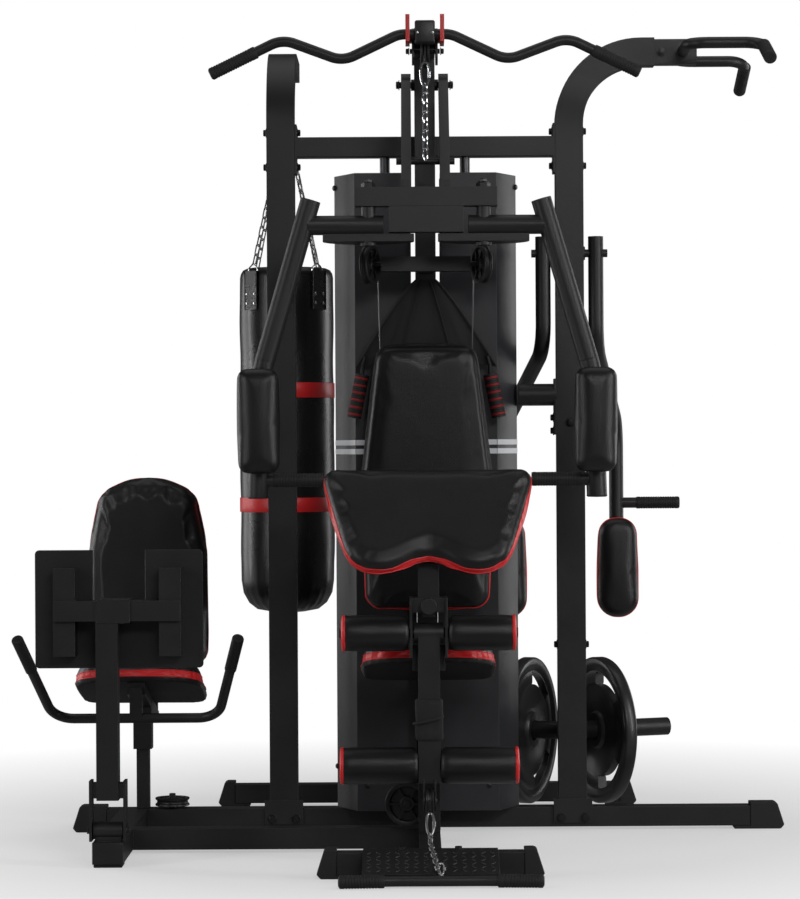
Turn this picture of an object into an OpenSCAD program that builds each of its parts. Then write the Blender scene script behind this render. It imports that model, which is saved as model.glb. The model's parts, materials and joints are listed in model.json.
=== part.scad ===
// Multi station home gym: weight stack tower, press arms, leg developer,
// curl pad, leg press, pull-up handle, heavy bag and swinging dip arms.
// Origin: on the floor, under the middle of the main base tube.
// +X is to the right of a person facing the seat, +Y is to the rear, +Z is up.

/* [Base frame] */
// Side of the square base and column tubes
tube = 50; // [46:1:54]
// Wall of the steel tubes
wall = 3; // [2:0.5:4]
// Height of the base tubes above the floor
tube_lift = 8; // [6:1:10]
// Half length of the main base tube, without its foot caps
main_half = 802; // [780:2:820]
// Half length of the rear base tube, without its foot caps
rear_half = 513; // [480:1:530]
// Half length of the front base tube, without its foot caps
front_half = 208; // [190:1:230]
// Distance from the main base tube to the rear base tube
rear_y = 530; // [500:5:560]
// Distance from the main base tube to the front base tube
front_y = 840; // [830:1:850]

/* [Tower] */
// Width of the two side uprights
upright_w = 70; // [64:1:76]
// Distance of each side upright from the middle
upright_x = 360; // [350:1:370]
// Top of the front and rear columns
column_top = 1913; // [1905:1:1920]
// Height of the upper cross beam's centre
beam_z = 1705; // [1695:1:1710]
// Height of the shroud's top edge
shroud_top = 1633; // [1580:1:1640]
// Half width of the shroud's front face
shroud_front = 175; // [170:1:180]
// Half width of the shroud where the front and rear covers meet
shroud_side = 227; // [220:1:228]

/* [Weight stack] */
// Plates that stay down when the stack is lifted
resting_count = 11; // [6:1:11]
// Plates that the pin lifts
lifted_count = 4; // [2:1:4]
// Thickness of one plate
stack_t = 25; // [20:1:25]

/* [Press arms] */
// Height of the press frame's pivot
press_z = 1850; // [1846:1:1854]
// Diameter of the press arm tubes
arm_d = 48; // [42:1:48]
// Distance of the butterfly pivots from the middle
fly_x = 136; // [134:1:140]

/* [Seat and leg developer] */
// Width of the seat pad
seat_w = 314; // [280:2:330]
// Tilt of the seat, front edge up
seat_tilt = 12; // [11:0.5:12]
// Height of the leg developer's pivot
knee_z = 529; // [527:1:530]
// Height of the ankle roller's axle
ankle_z = 225; // [215:1:235]
// Slope of the curl pad from the floor
curl_slope = 54; // [53:0.5:55]

/* [Leg press] */
// Distance of the leg press seat from the middle
lp_x = 712; // [708:1:716]
// Width of the leg press foot plate
foot_plate_w = 387; // [360:1:390]
// Height of the foot plate's lower edge
foot_plate_z = 451; // [440:1:460]

/* [Bag and dip arms] */
// Diameter of the heavy bag
bag_d = 248; // [220:2:248]
// Height of the heavy bag's lower face
bag_z = 529; // [500:1:560]
// Length of the heavy bag
bag_h = 894; // [800:2:920]
// Height of the dip arms' pivot
dip_z = 1438; // [1430:1:1440]
// Distance of the dip arms behind the upright
dip_back = 500; // [480:5:520]
// Radius of the loose weight plates
disc_r = 189; // [150:1:190]

/* [Hidden] */
$fn = 48;
half = tube / 2;
base_z = tube_lift + half;
base_top = tube_lift + tube;
gap = 0.2; // air between two parts that only rest near each other
run = 0.05; // radial running clearance of a shaft in its bore

column_y = -90;
column_front = column_y - half;
rear_column_y = 300;
boom_z = column_top + half;
boom_front = -295;
boom_back = rear_column_y + half;
top_pulley_y = -320;
top_pulley_z = 1903;
top_pulley_r = 46;
axle_r = 6;
bracket_t = 6;
cable_r = 2.5;
cable_seat = top_pulley_r - cable_r; // cable centre radius on the top pulley
clip_top = top_pulley_z - 30;
clip_low = top_pulley_z - 66;
chain_low = 1635;
side_pulley_c = [134, -250, 1398];
side_pulley_yaw = 22;
side_pulley_axis = [cos(side_pulley_yaw), sin(side_pulley_yaw), 0];
turn_pulley_c = [-52, -450, 118];
turn_pulley_r = 52;
low_pulley_c = [0, -635, 145];
lever_w = 50; // width of the square tube of both levers
row_x = 22; // where the low row bar's middle lies

left_bend_r = 170;
left_bend_z = 1767;
left_arm_z = left_bend_z + left_bend_r;
left_arm_end = 355;
right_bend_r = 180;
right_bend_z = 1759;
right_boom_z = right_bend_z + right_bend_r;
right_boom_end = 574;
handle_x = 645;
handle_out = 825;

wide_slot = 36; // half width of the cover's slot
slot_closed = 1300; // the front slot is narrow below this height
rod_x = 100;
rod_r = 12.5;
stack_bottom = 75;
stack_w = 300;
stack_d = 100;
pitch = stack_t + 0.4;
lifted_bottom = stack_bottom + resting_count * pitch;
lifted_top = lifted_bottom + lifted_count * pitch - 0.4;
stem_r = 12;
pin_r = 5;
pin_z = lifted_bottom + stack_t / 2;
carriage_pulley_r = 44;
carriage_pulley_z = lifted_top + 85;

press_y = column_y;
press_pin_r = 8;
fly_y = -420;
fly_tube_z = 1480;
fly_pin_r = 10;
cross_z = 1546;
cross_h = 45;
cam_r = 108;
grip_z = 879;

seat_rear_y = -220;
seat_rear_z = 389;
seat_t = 60;
seat_l = 317;
beam_front_y = -592;
knee_y = -620;
knee_pin_r = 12;
socket_out = 48;
socket_in = 34;
curl_post = 32;
curl_c = [0, -625, 790];
curl_t = 50;
curl_half = 144;

lp_rail_x = -735;
lp_pivot_y = -640;
lp_pivot_z = 83;
lp_pin_r = 8;
lp_post = 32;
lp_post_top = 300;
lp_brace_y = -545;
lp_seat_tilt = 15;
lp_seat_front = [-200, 390];
plate_y = -600;

bag_y = 300;
hook_z = 1895;
dip_pin_r = 10;
dip_d = 38;
dip_near = 66;
dip_far = 148;
peg_r = 23;
peg_y = 258;
peg_z = 222;
peg_yaw = 22;
peg_len = [200, 268];
disc_at = [84, 73];
disc_t = 35;
disc_hole_r = 25.3;

steel = [0.10, 0.10, 0.11];
shroud_grey = [0.20, 0.21, 0.24];
leather = [0.06, 0.06, 0.07];
rubber = [0.04, 0.04, 0.04];
chrome = [0.75, 0.76, 0.78];
red = [0.75, 0.05, 0.07];

// ---- helpers ----

function unit(v) = v / norm(v);
function side_axis(z) = norm(cross([0, 0, 1], z)) < 0.001 ? [1, 0, 0] : unit(cross([0, 0, 1], z));
function turn_at(p, i) = acos(unit(p[i] - p[i - 1]) * unit(p[i + 1] - p[i]));
function cut_at(p, i, bend) = (i == 0 || i == len(p) - 1) ? 0 : bend * tan(turn_at(p, i) / 2);

// Places a child at a point with a given set of axes
module axes(p, x, y, z) {
    multmatrix([
        [x[0], y[0], z[0], p[0]],
        [x[1], y[1], z[1], p[1]],
        [x[2], y[2], z[2], p[2]],
        [0, 0, 0, 1],
    ])
        children();
}

// Points a child's +Z along a direction
module along(p, dir) {
    z = unit(dir);
    x = side_axis(z);
    axes(p, x, cross(z, x), z)
        children();
}

// A round rod between two points
module rod(a, b, r) {
    along(a, b - a)
        cylinder(r = r, h = norm(b - a));
}

// A round tube through a list of points, with smooth bends that run a little into its straights
module pipe(p, d, bend) {
    lap = 0.4;
    for (i = [0 : len(p) - 2]) {
        dir = unit(p[i + 1] - p[i]);
        rod(p[i] + dir * cut_at(p, i, bend), p[i + 1] - dir * cut_at(p, i + 1, bend), d / 2);
    }
    if (len(p) > 2)
        for (i = [1 : len(p) - 2]) {
            a = unit(p[i] - p[i - 1]);
            b = unit(p[i + 1] - p[i]);
            m = unit(b - a * (a * b));
            start = p[i] - a * cut_at(p, i, bend);
            axes(start + m * bend, -m, a, cross(a, m))
                rotate([0, 0, -lap])
                    rotate_extrude(angle = turn_at(p, i) + 2 * lap)
                        translate([bend, 0])
                            circle(r = d / 2 - 0.05);
        }
}

// Cylinder along X, centred on a point
module x_rod(p, r, l) {
    translate(p)
        rotate([0, 90, 0])
            cylinder(r = r, h = l, center = true);
}

// Cylinder along Y, centred on a point
module y_rod(p, r, l) {
    translate(p)
        rotate([90, 0, 0])
            cylinder(r = r, h = l, center = true);
}

// Box given by its two corners
module block(lo, hi) {
    translate(lo)
        cube(hi - lo);
}

// Rectangular hollow tubes, centred
module tube_x(c, l, w, h) {
    translate(c)
        difference() {
            cube([l, w, h], center = true);
            cube([l + 2, w - 2 * wall, h - 2 * wall], center = true);
        }
}

module tube_y(c, l, w, h) {
    translate(c)
        difference() {
            cube([w, l, h], center = true);
            cube([w - 2 * wall, l + 2, h - 2 * wall], center = true);
        }
}

module tube_z(c, l, w, d) {
    translate(c)
        difference() {
            cube([w, d, l], center = true);
            cube([w - 2 * wall, d - 2 * wall, l + 2], center = true);
        }
}

// Extrudes an outline drawn in Y and Z along X
module side_profile(x0, x1) {
    translate([x0, 0, 0])
        rotate([90, 0, 90])
            linear_extrude(x1 - x0)
                children();
}

// A padded slab: rounded corners at [x, y, r] in its own plane, t thick
module pad_slab(corners, t) {
    hull()
        for (c = corners)
            translate([c[0], c[1], 0])
                cylinder(r = c[2], h = t, $fn = 32);
}

// Grooved pulley wheel along Z, with a bore
module pulley(r, t, bore) {
    difference() {
        cylinder(r = r, h = t, center = true);
        rotate_extrude()
            translate([r + 1, 0])
                circle(r = t * 0.28);
        cylinder(r = bore, h = t + 2, center = true);
    }
}

// ---- base ----

module foot_cap(l) {
    side = half + 2;
    translate([0, side, 0])
        rotate([90, 0, 0])
            linear_extrude(2 * side)
                polygon([
                    [-40, 0], [l - 9, 0], [l, 10], [l - 17, base_top + 5], [l - 24, base_top + 8],
                    [0, base_top + 8], [0, tube_lift], [-40, tube_lift],
                ]);
}

module main_base_tube() {
    color(steel)
        tube_x([0, 0, base_z], 2 * main_half, tube, tube);
}

module rear_base_tube() {
    color(steel)
        tube_x([0, rear_y, base_z], 2 * rear_half, tube, tube);
}

module front_base_tube() {
    color(steel)
        tube_x([0, -front_y, base_z], 2 * front_half, tube, tube);
}

module centre_rail() {
    front_l = front_y - tube;
    rear_l = rear_y - tube;
    turn = turn_pulley_c;
    color(steel) {
        tube_y([0, -half - front_l / 2, base_z], front_l, tube, tube);
        tube_y([0, half + rear_l / 2, base_z], rear_l, tube, tube);
        block([-66, -436, base_top], [half, -430, 134]);
        y_rod([turn[0], -446, turn[2]], 8, 34);
    }
}

module foot_caps() {
    color(rubber) {
        for (s = [0, 1])
            mirror([s, 0, 0]) {
                translate([main_half, 0, 0])
                    foot_cap(85);
                translate([rear_half, rear_y, 0])
                    foot_cap(45);
                translate([front_half, -front_y, 0])
                    foot_cap(45);
            }
        block([-30, -half, 0], [30, half, tube_lift]);
        block([lp_rail_x - 33, -663, 0], [lp_rail_x + 33, -603, tube_lift]);
    }
}

// ---- tower ----

module front_upright() {
    h = column_top - base_top;
    color(steel) {
        tube_z([0, column_y, base_top + h / 2], h, tube, tube);
        for (z = [710, 1060])
            block([-20, -165, z - 20], [20, column_front, z + 20]);
        x_rod([0, press_y, press_z], press_pin_r, 124);
        for (s = [-1, 1])
            x_rod([s * (half + 4.2), press_y, press_z], 14, 8.4);
    }
}

module rear_upright() {
    h = column_top - base_top;
    color(steel)
        tube_z([0, rear_column_y, base_top + h / 2], h, tube, tube);
}

module top_boom() {
    l = boom_back - boom_front;
    color(steel) {
        difference() {
            tube_y([0, (boom_front + boom_back) / 2, boom_z], l, tube, tube);
            block([-14, boom_front - 1, column_top - 1], [14, boom_front + 33, column_top + wall + 1]);
            block([-10, -60, column_top - 5], [10, 60, column_top + 5]);
            block([-10, 235, column_top - 5], [10, 262, column_top + 5]);
        }
        for (s = [0, 1])
            mirror([s, 0, 0])
                side_profile(half, half + bracket_t)
                    polygon([
                        [-350, 1885], [-338, 1872], [-298, 1872], [-215, 1918],
                        [-215, 1955], [-340, 1955], [-350, 1945],
                    ]);
        x_rod([0, top_pulley_y, top_pulley_z], axle_r, 2 * half + 22);
    }
}

module left_upright() {
    h = left_bend_z - base_top;
    color(steel)
        translate([-upright_x, 0, 0]) {
            tube_z([0, 0, base_top + h / 2], h, upright_w, tube);
            translate([0, left_bend_r, left_bend_z])
                rotate([90, 0, 90])
                    rotate([0, 0, 90])
                        rotate_extrude(angle = 90)
                            bend_section(left_bend_r, tube, upright_w);
            tube_y([0, (left_bend_r + left_arm_end) / 2, left_arm_z],
                left_arm_end - left_bend_r, upright_w, tube);
            block([-48, -half - 6, 18], [48, -half, 78]);
            for (s = [-1, 1])
                block([s * 9 - 3, bag_y - 14, hook_z - 12], [s * 9 + 3, bag_y + 14, left_arm_z - half]);
            x_rod([0, bag_y, hook_z], 5, 30);
        }
}

// Hollow rectangle for a bent tube, at its bend radius
module bend_section(r, in_plane, across) {
    translate([r, 0])
        difference() {
            square([in_plane, across], center = true);
            square([in_plane - 2 * wall, across - 2 * wall], center = true);
        }
}

module right_upright() {
    h = right_bend_z - base_top;
    color(steel)
        translate([upright_x, 0, 0]) {
            difference() {
                union() {
                    tube_z([0, 0, base_top + h / 2], h, upright_w, tube);
                    x_rod([0, 0, dip_z], 17, upright_w + 8);
                }
                x_rod([0, 0, dip_z], dip_pin_r + run, upright_w + 20);
            }
            translate([right_bend_r, 0, right_bend_z])
                rotate([90, 0, 0])
                    rotate([0, 0, 90])
                        rotate_extrude(angle = 90)
                            bend_section(right_bend_r, upright_w, tube);
            tube_x([(right_bend_r + right_boom_end - upright_x) / 2, 0, right_boom_z],
                right_boom_end - upright_x - right_bend_r, tube, upright_w);
            block([-48, -half - 6, 18], [48, -half, 78]);
        }
}

module upper_cross_beam() {
    reach = upright_x - upright_w / 2;
    flange = 6;
    color(steel) {
        tube_x([0, 0, beam_z], 2 * (reach - flange), tube, tube);
        for (s = [-1, 1]) {
            translate([s * (reach - flange / 2), 0, beam_z - 5])
                cube([flange, tube, 125], center = true);
            block([s * 17 - 3, column_y + half, beam_z - 20], [s * 17 + 3, -half, beam_z + 20]);
            block([s * 17 - 3, half, beam_z - 20], [s * 17 + 3, rear_column_y - half, beam_z + 20]);
        }
    }
}

module bar_hooks() {
    color(red)
        for (s = [0, 1])
            mirror([s, 0, 0]) {
                side_profile(36, 46)
                    difference() {
                        union() {
                            translate([-407, 1916])
                                square([97, 30]);
                            translate([-407, 1916])
                                square([8, 64]);
                        }
                        translate([-385, 1935])
                            circle(r = 14);
                        translate([-399, 1935])
                            square([28, 60]);
                    }
                block([half + bracket_t, -345, 1922], [36.5, -315, 1942]);
            }
}

module side_brace() {
    color(steel) {
        x_rod([(231 + upright_x - upright_w / 2) / 2, 0, 1085], 27.5, upright_x - upright_w / 2 - 231);
        block([upright_x - upright_w / 2 - 6, -half, 985], [upright_x - upright_w / 2, half, 1125]);
    }
}

// ---- shroud and stack ----

// Outline of one quarter of the cover, to the right and to the front
module cover_outline(slot) {
    t = 3;
    front = 100;
    polygon([
        [slot, -62], [slot, -front], [shroud_front, -front], [shroud_side, -gap],
        [shroud_side - t - 0.4, -gap], [shroud_front - t + 1, -front + t], [slot + t, -front + t],
        [slot + t, -62],
    ]);
}

module cover_quarter() {
    translate([0, 0, base_top + gap])
        linear_extrude(shroud_top - base_top - gap)
            cover_outline(wide_slot);
}

// A front cover, which closes in on the column below the slot's top
module front_cover() {
    cover_quarter();
    translate([0, 0, base_top + gap])
        linear_extrude(slot_closed - base_top - gap)
            cover_outline(half + 1);
}

module shroud_right() {
    color(shroud_grey)
        front_cover();
}

module shroud_left() {
    color(shroud_grey)
        mirror([1, 0, 0])
            front_cover();
}

module rear_shroud() {
    color(shroud_grey)
        mirror([0, 1, 0]) {
            cover_quarter();
            mirror([1, 0, 0])
                cover_quarter();
        }
}

module guide_rods() {
    color(chrome)
        for (s = [-1, 1])
            translate([s * rod_x, 0, base_top]) {
                cylinder(r = rod_r, h = beam_z - half - base_top);
                cylinder(r = 26, h = stack_bottom - base_top - gap);
            }
}

module stack_plate() {
    translate([0, 0, stack_t / 2])
        cube([stack_w, stack_d, stack_t], center = true);
}

module rod_bores(z, h) {
    for (s = [-1, 1])
        translate([s * rod_x, 0, z - 1])
            cylinder(r = rod_r + 0.3, h = h + 2);
}

module resting_plates() {
    color(steel)
        difference() {
            for (i = [0 : resting_count - 1])
                translate([0, 0, stack_bottom + i * pitch])
                    stack_plate();
            rod_bores(stack_bottom, resting_count * pitch);
            translate([0, 0, stack_bottom - 1])
                cylinder(r = stem_r + 1, h = resting_count * pitch + 2);
        }
}

module lifted_plates() {
    color(steel)
        difference() {
            union() {
                for (i = [0 : lifted_count - 1])
                    translate([0, 0, lifted_bottom + i * pitch])
                        stack_plate();
                translate([0, 0, stack_bottom + 15])
                    cylinder(r = stem_r, h = lifted_top - stack_bottom);
                for (s = [-1, 1])
                    block([s * 12 - 2, -18, lifted_top - 1], [s * 12 + 2, 18, carriage_pulley_z + 15]);
                x_rod([0, 0, carriage_pulley_z], axle_r, 34);
                x_rod([0, 0, carriage_pulley_z], carriage_pulley_r - 4, 12);
            }
            rod_bores(lifted_bottom, lifted_count * pitch);
            y_rod([0, 26, pin_z], pin_r + run, 54);
        }
}

module selector_pin() {
    color(red) {
        y_rod([0, 36, pin_z], pin_r, 72);
        y_rod([0, 75, pin_z], 13, 22);
    }
}

// ---- front details ----

module tread_plate() {
    color(steel)
        side_profile(-150, 150)
            polygon([
                [-front_y + 22, base_top], [-front_y + 22, base_top + 4], [-front_y - 27, base_top + 4],
                [-988, 27], [-987, 23], [-front_y - 26, base_top],
            ]);
}

module side_pulley_bracket() {
    c = side_pulley_c;
    axis = side_pulley_axis;
    color(steel) {
        tube_x([0, c[1], c[2]], 216, 36, 36);
        block([-18, c[1] + 18, c[2] - 16], [18, column_front, c[2] + 16]);
        for (s = [0, 1])
            mirror([s, 0, 0])
                rod(c - axis * 34, c + axis * 18, axle_r);
    }
}

module side_pulley_right() {
    color(rubber)
        along(side_pulley_c, side_pulley_axis)
            pulley(47, 20, axle_r + run);
}

module side_pulley_left() {
    color(rubber)
        along([-side_pulley_c[0], side_pulley_c[1], side_pulley_c[2]],
            [-cos(side_pulley_yaw), sin(side_pulley_yaw), 0])
            pulley(47, 20, axle_r + run);
}

module top_pulley() {
    color(rubber)
        translate([0, top_pulley_y, top_pulley_z])
            rotate([0, 90, 0])
                pulley(top_pulley_r, 22, axle_r + run);
}

module turning_pulley() {
    color(rubber)
        translate(turn_pulley_c)
            rotate([90, 0, 0])
                pulley(turn_pulley_r, 22, 8 + run);
}

module pull_up_handle() {
    drop = 58;
    z = right_boom_z;
    color(steel) {
        difference() {
            block([532, -half + wall + 1, z - 31], [680, half - wall - 1, z + 31]);
            block([530, -half + wall + 4, z - 28], [677, half - wall - 4, z + 28]);
        }
        pipe([
            [handle_out, 340, z - drop], [handle_out, 180, z], [handle_x, 180, z],
            [handle_x, -180, z], [handle_out, -180, z], [handle_out, -340, z - drop],
        ], 28, 45);
    }
}

module bolt_head(p, dir) {
    along(p, dir) {
        cylinder(r = 11, h = 2);
        cylinder(r = 9, h = 8, $fn = 6);
    }
}

module frame_bolts() {
    face = -half - 6;
    color(chrome) {
        for (s = [-1, 1]) {
            for (x = [-30, 30])
                bolt_head([s * upright_x + x, face, base_z - 2], [0, -1, 0]);
            for (z = [beam_z - 48, beam_z + 38])
                bolt_head([s * (upright_x + upright_w / 2), 0, z], [s, 0, 0]);
            bolt_head([s * 62, -front_y - 12, base_top + 4], [0, 0, 1]);
        }
        bolt_head([0, column_front, 1340], [0, -1, 0]);
        bolt_head([upright_x, -half, 1015], [0, -1, 0]);
        for (s = [-1, 1])
            bolt_head([upright_x + s * upright_w / 2, 0, 461], [s, 0, 0]);
        for (z = [995, 1028])
            bolt_head([upright_x - upright_w / 2 - 6, 0, z], [-1, 0, 0]);
        bolt_head([592, -half, right_boom_z], [0, -1, 0]);
    }
}

module cable_run(p) {
    for (i = [0 : len(p) - 2])
        rod(p[i], p[i + 1], cable_r);
}

module cables() {
    top = top_pulley_z + cable_seat;
    front = top_pulley_y - cable_seat;
    color(rubber) {
        cable_run([[0, front, top_pulley_z], [0, front, clip_top]]);
        cable_run([[0, top_pulley_y, top], [0, -carriage_pulley_r, top], [0, -carriage_pulley_r, carriage_pulley_z]]);
        cable_run([[0, carriage_pulley_r, carriage_pulley_z], [0, carriage_pulley_r, top], [0, 248, top], [0, 248, 70]]);
        cable_run([[0, -665, 150], [0, -786, 142]]);
    }
    color(chrome) {
        rod([0, front, clip_top], [0, front, clip_low], 7);
        rod([0, front, clip_low], [0, front, chain_low], 6);
    }
}

module ab_harness() {
    grip_x = 166;
    y = -140;
    color(rubber) {
        translate([0, y - 2, 0])
            rotate([90, 0, 0])
                linear_extrude(6)
                    polygon([
                        [-22, 1366], [22, 1366], [grip_x + 8, 1175], [grip_x + 4, 1128],
                        [grip_x - 8, 1128], [60, 1150], [-60, 1150], [-grip_x + 8, 1128],
                        [-grip_x - 4, 1128], [-grip_x - 8, 1175],
                    ]);
        for (s = [-1, 1])
            translate([s * grip_x, y, 1027])
                cylinder(r = 18, h = 110);
    }
}

// ---- seat ----

function seat_under(y) = seat_rear_z + (seat_rear_y - y) * tan(seat_tilt);

module seat_frame() {
    plate_in = 37.5;
    color(steel) {
        difference() {
            side_profile(-half, half)
                polygon([
                    [column_front, seat_under(column_front)], [beam_front_y, seat_under(beam_front_y)],
                    [beam_front_y, seat_under(beam_front_y) - 51], [column_front, seat_under(column_front) - 51],
                ]);
            side_profile(-half + wall, half - wall)
                polygon([
                    [column_front + 1, seat_under(column_front) - wall],
                    [beam_front_y + 30, seat_under(beam_front_y + 30) - wall],
                    [beam_front_y + 30, seat_under(beam_front_y + 30) - 51 + wall],
                    [column_front + 1, seat_under(column_front) - 51 + wall],
                ]);
        }
        side_profile(-half, half)
            polygon([
                [-525, base_top], [-475, base_top], [-475, seat_under(-475) - 50], [-525, seat_under(-525) - 50],
            ]);
        block([-plate_in, beam_front_y, 440], [plate_in, beam_front_y + 30, 500]);
        for (s = [-1, 1])
            block([s * (plate_in + 3) - 3, -652, 474], [s * (plate_in + 3) + 3, -568, 611]);
        x_rod([0, knee_y, knee_z], knee_pin_r, 410);
        difference() {
            union() {
                block([-plate_in, knee_y - 27, 577], [plate_in, knee_y + 27, 611]);
                block([-socket_out / 2, knee_y - socket_out / 2, 600], [socket_out / 2, knee_y + socket_out / 2, 690]);
            }
            translate([0, knee_y, 630])
                cube([socket_in, socket_in, 140], center = true);
        }
        y_rod([0, knee_y - 41, 592], 18, 28);
    }
}

module seat_pad() {
    r = 55;
    w = seat_w / 2 - r;
    color(leather)
        translate([0, seat_rear_y, seat_rear_z])
            rotate([-seat_tilt, 0, 0])
                translate([0, 0, gap])
                    pad_slab([[-w, -r, r], [w, -r, r], [-w, r - seat_l, r], [w, r - seat_l, r]], seat_t);
}

module back_pad() {
    r = 42;
    color(leather)
        translate([0, -165 - gap, 0])
            rotate([90, 0, 0])
                pad_slab([
                    [-112, 561 + r, r], [112, 561 + r, r], [-161 + r, 880, r], [161 - r, 880, r],
                    [-128 + r, 1205 - r, r], [128 - r, 1205 - r, r],
                ], 56);
}

module leg_lever() {
    low = low_pulley_c;
    color(steel)
        difference() {
            union() {
                x_rod([0, knee_y, knee_z], 24, 68);
                block([-lever_w / 2, knee_y - 23, 186], [lever_w / 2, knee_y + 23, knee_z]);
                x_rod([0, knee_y, ankle_z], knee_pin_r, 418);
                for (s = [-1, 1])
                    side_profile(s * 13 - 2, s * 13 + 2) {
                        translate([low[1], low[2]])
                            circle(r = 24);
                        translate([low[1] - 14, low[2]])
                            square([40, 50]);
                    }
                x_rod(low, pin_r, 36);
            }
            x_rod([0, knee_y, knee_z], knee_pin_r + run, 80);
        }
}

module low_pulley() {
    color(rubber)
        translate(low_pulley_c)
            rotate([0, 90, 0])
                pulley(30, 18, pin_r + run);
}

module roller(x0, x1, z, r) {
    difference() {
        x_rod([(x0 + x1) / 2, knee_y, z], r, x1 - x0);
        x_rod([(x0 + x1) / 2, knee_y, z], knee_pin_r + run, x1 - x0 + 2);
    }
}

module knee_rollers() {
    color(rubber)
        for (s = [0, 1])
            mirror([s, 0, 0])
                roller(46, 200, knee_z, 42.5);
}

module ankle_rollers() {
    color(rubber)
        for (s = [0, 1])
            mirror([s, 0, 0])
                roller(26, 205, ankle_z, 43.5);
}

// Places children in the curl pad's own plane: x across, y up the slope, z out of its face
module curl_plane() {
    translate(curl_c)
        rotate([curl_slope, 0, 0])
            children();
}

module preacher_pad() {
    color(leather)
        curl_plane()
            translate([0, 0, -curl_t / 2])
                pad_slab([
                    [-200, curl_half - 45, 45], [200, curl_half - 45, 45],
                    [-138, 55 - curl_half, 55], [138, 55 - curl_half, 55],
                ], curl_t);
}

module preacher_post() {
    under = curl_t / 2 + gap;
    color(steel) {
        side_profile(-curl_post / 2, curl_post / 2)
            polygon([
                [knee_y - curl_post / 2, 566], [knee_y + curl_post / 2, 566],
                [knee_y + curl_post / 2, 767], [knee_y - curl_post / 2, 723],
            ]);
        curl_plane()
            translate([0, -10, -under - 3])
                cube([120, 160, 6], center = true);
    }
}

// ---- press station ----

module press_frame() {
    dy = fly_y - press_y;
    dz = cross_z - press_z;
    bar_l = norm([dy, dz]);
    slope = atan2(-dz, -dy);
    top = cross_z + cross_h / 2;
    color(steel) {
        for (s = [0, 1])
            mirror([s, 0, 0]) {
                difference() {
                    side_profile(34, 58) {
                        translate([press_y, press_z])
                            circle(r = 28);
                        translate([press_y, press_z])
                            rotate(180 + slope)
                                translate([0, -24])
                                    square([bar_l, 48]);
                    }
                    x_rod([46, press_y, press_z], press_pin_r + run, 40);
                    block([30, fly_y - 60, top], [60, fly_y + 10, top + 40]);
                }
                translate([fly_x, fly_y, 1431])
                    cylinder(r = fly_pin_r, h = top + 12 - 1431);
                translate([fly_x, fly_y, 1431])
                    cylinder(r = 19, h = 7);
                translate([fly_x, fly_y, top])
                    cylinder(r = 17, h = 10, $fn = 6);
            }
        block([-168, fly_y - 22.5, cross_z - cross_h / 2], [168, fly_y + 22.5, top]);
        block([-88, fly_y - 22, 1462], [88, fly_y + 22, cross_z]);
        x_rod([0, -315, 1640], 8, 140);
    }
}

// The left arm, seen from its pivot; the right arm is its mirror image
module fly_arm() {
    color(steel)
        difference() {
            union() {
                rod([-fly_x + 36, fly_y, fly_tube_z], [-280, fly_y, fly_tube_z], arm_d / 2 - 1);
                pipe([[-272, fly_y, 1540], [-391, fly_y, 1130], [-400, fly_y, 839]], arm_d, 260);
                translate([-fly_x, fly_y, fly_tube_z])
                    cylinder(r = 17, h = 43);
                intersection() {
                    translate([-fly_x, fly_y, 1441])
                        cylinder(r = cam_r, h = 18);
                    block([-fly_x - 150, fly_y - 12, 1430], [-fly_x + 150, fly_y + 150, 1470]);
                }
                rod([-390, fly_y, grip_z], [-246, fly_y, grip_z], 16);
            }
            translate([-fly_x, fly_y, 1430])
                cylinder(r = fly_pin_r + run, h = 110);
        }
}

module fly_arm_left() {
    fly_arm();
}

module fly_arm_right() {
    mirror([1, 0, 0])
        fly_arm();
}

module fly_pad() {
    r = 40;
    x = 395;
    color(leather)
        translate([-x, fly_y - arm_d / 2 - gap, 0])
            rotate([90, 0, 0])
                pad_slab([[-47 + r, 898 + r, r], [47 - r, 898 + r, r], [-45 + r, 1139 - r, r], [49 - r, 1139 - r, r]], 54);
}

module fly_pad_left() {
    fly_pad();
}

module fly_pad_right() {
    mirror([1, 0, 0])
        fly_pad();
}

module lat_bar() {
    y = -385;
    left = [[-509, y, 1842], [-338, y, 1925], [-195, y, 1872], [-62, y, 1935]];
    right = [[62, y, 1935], [195, y, 1872], [338, y, 1925], [509, y, 1842]];
    color(chrome) {
        pipe(concat(left, right), 25, 70);
        for (s = [0, 1])
            mirror([s, 0, 0]) {
                dir = unit(right[3] - right[2]);
                rod(right[3] - dir * 122, right[3], 15);
            }
    }
}

module row_bar() {
    y = -1003;
    chain = [[0, -790, 138], [0, -832, 94], [0, -866, 76], [14, -985, 42], [row_x, y, 15]];
    color(chrome) {
        translate([row_x, 0, 0]) {
            pipe([[-222, y - 10, 15], [-95, y, 15], [95, y, 15], [222, y - 10, 15]], 24, 80);
            for (s = [0, 1])
                mirror([s, 0, 0]) {
                    a = [95, y, 15];
                    b = [222, y - 10, 15];
                    rod(b - unit(b - a) * 100, b, 15);
                }
        }
        pipe(chain, 8, 20);
    }
}

// ---- leg press ----

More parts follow.
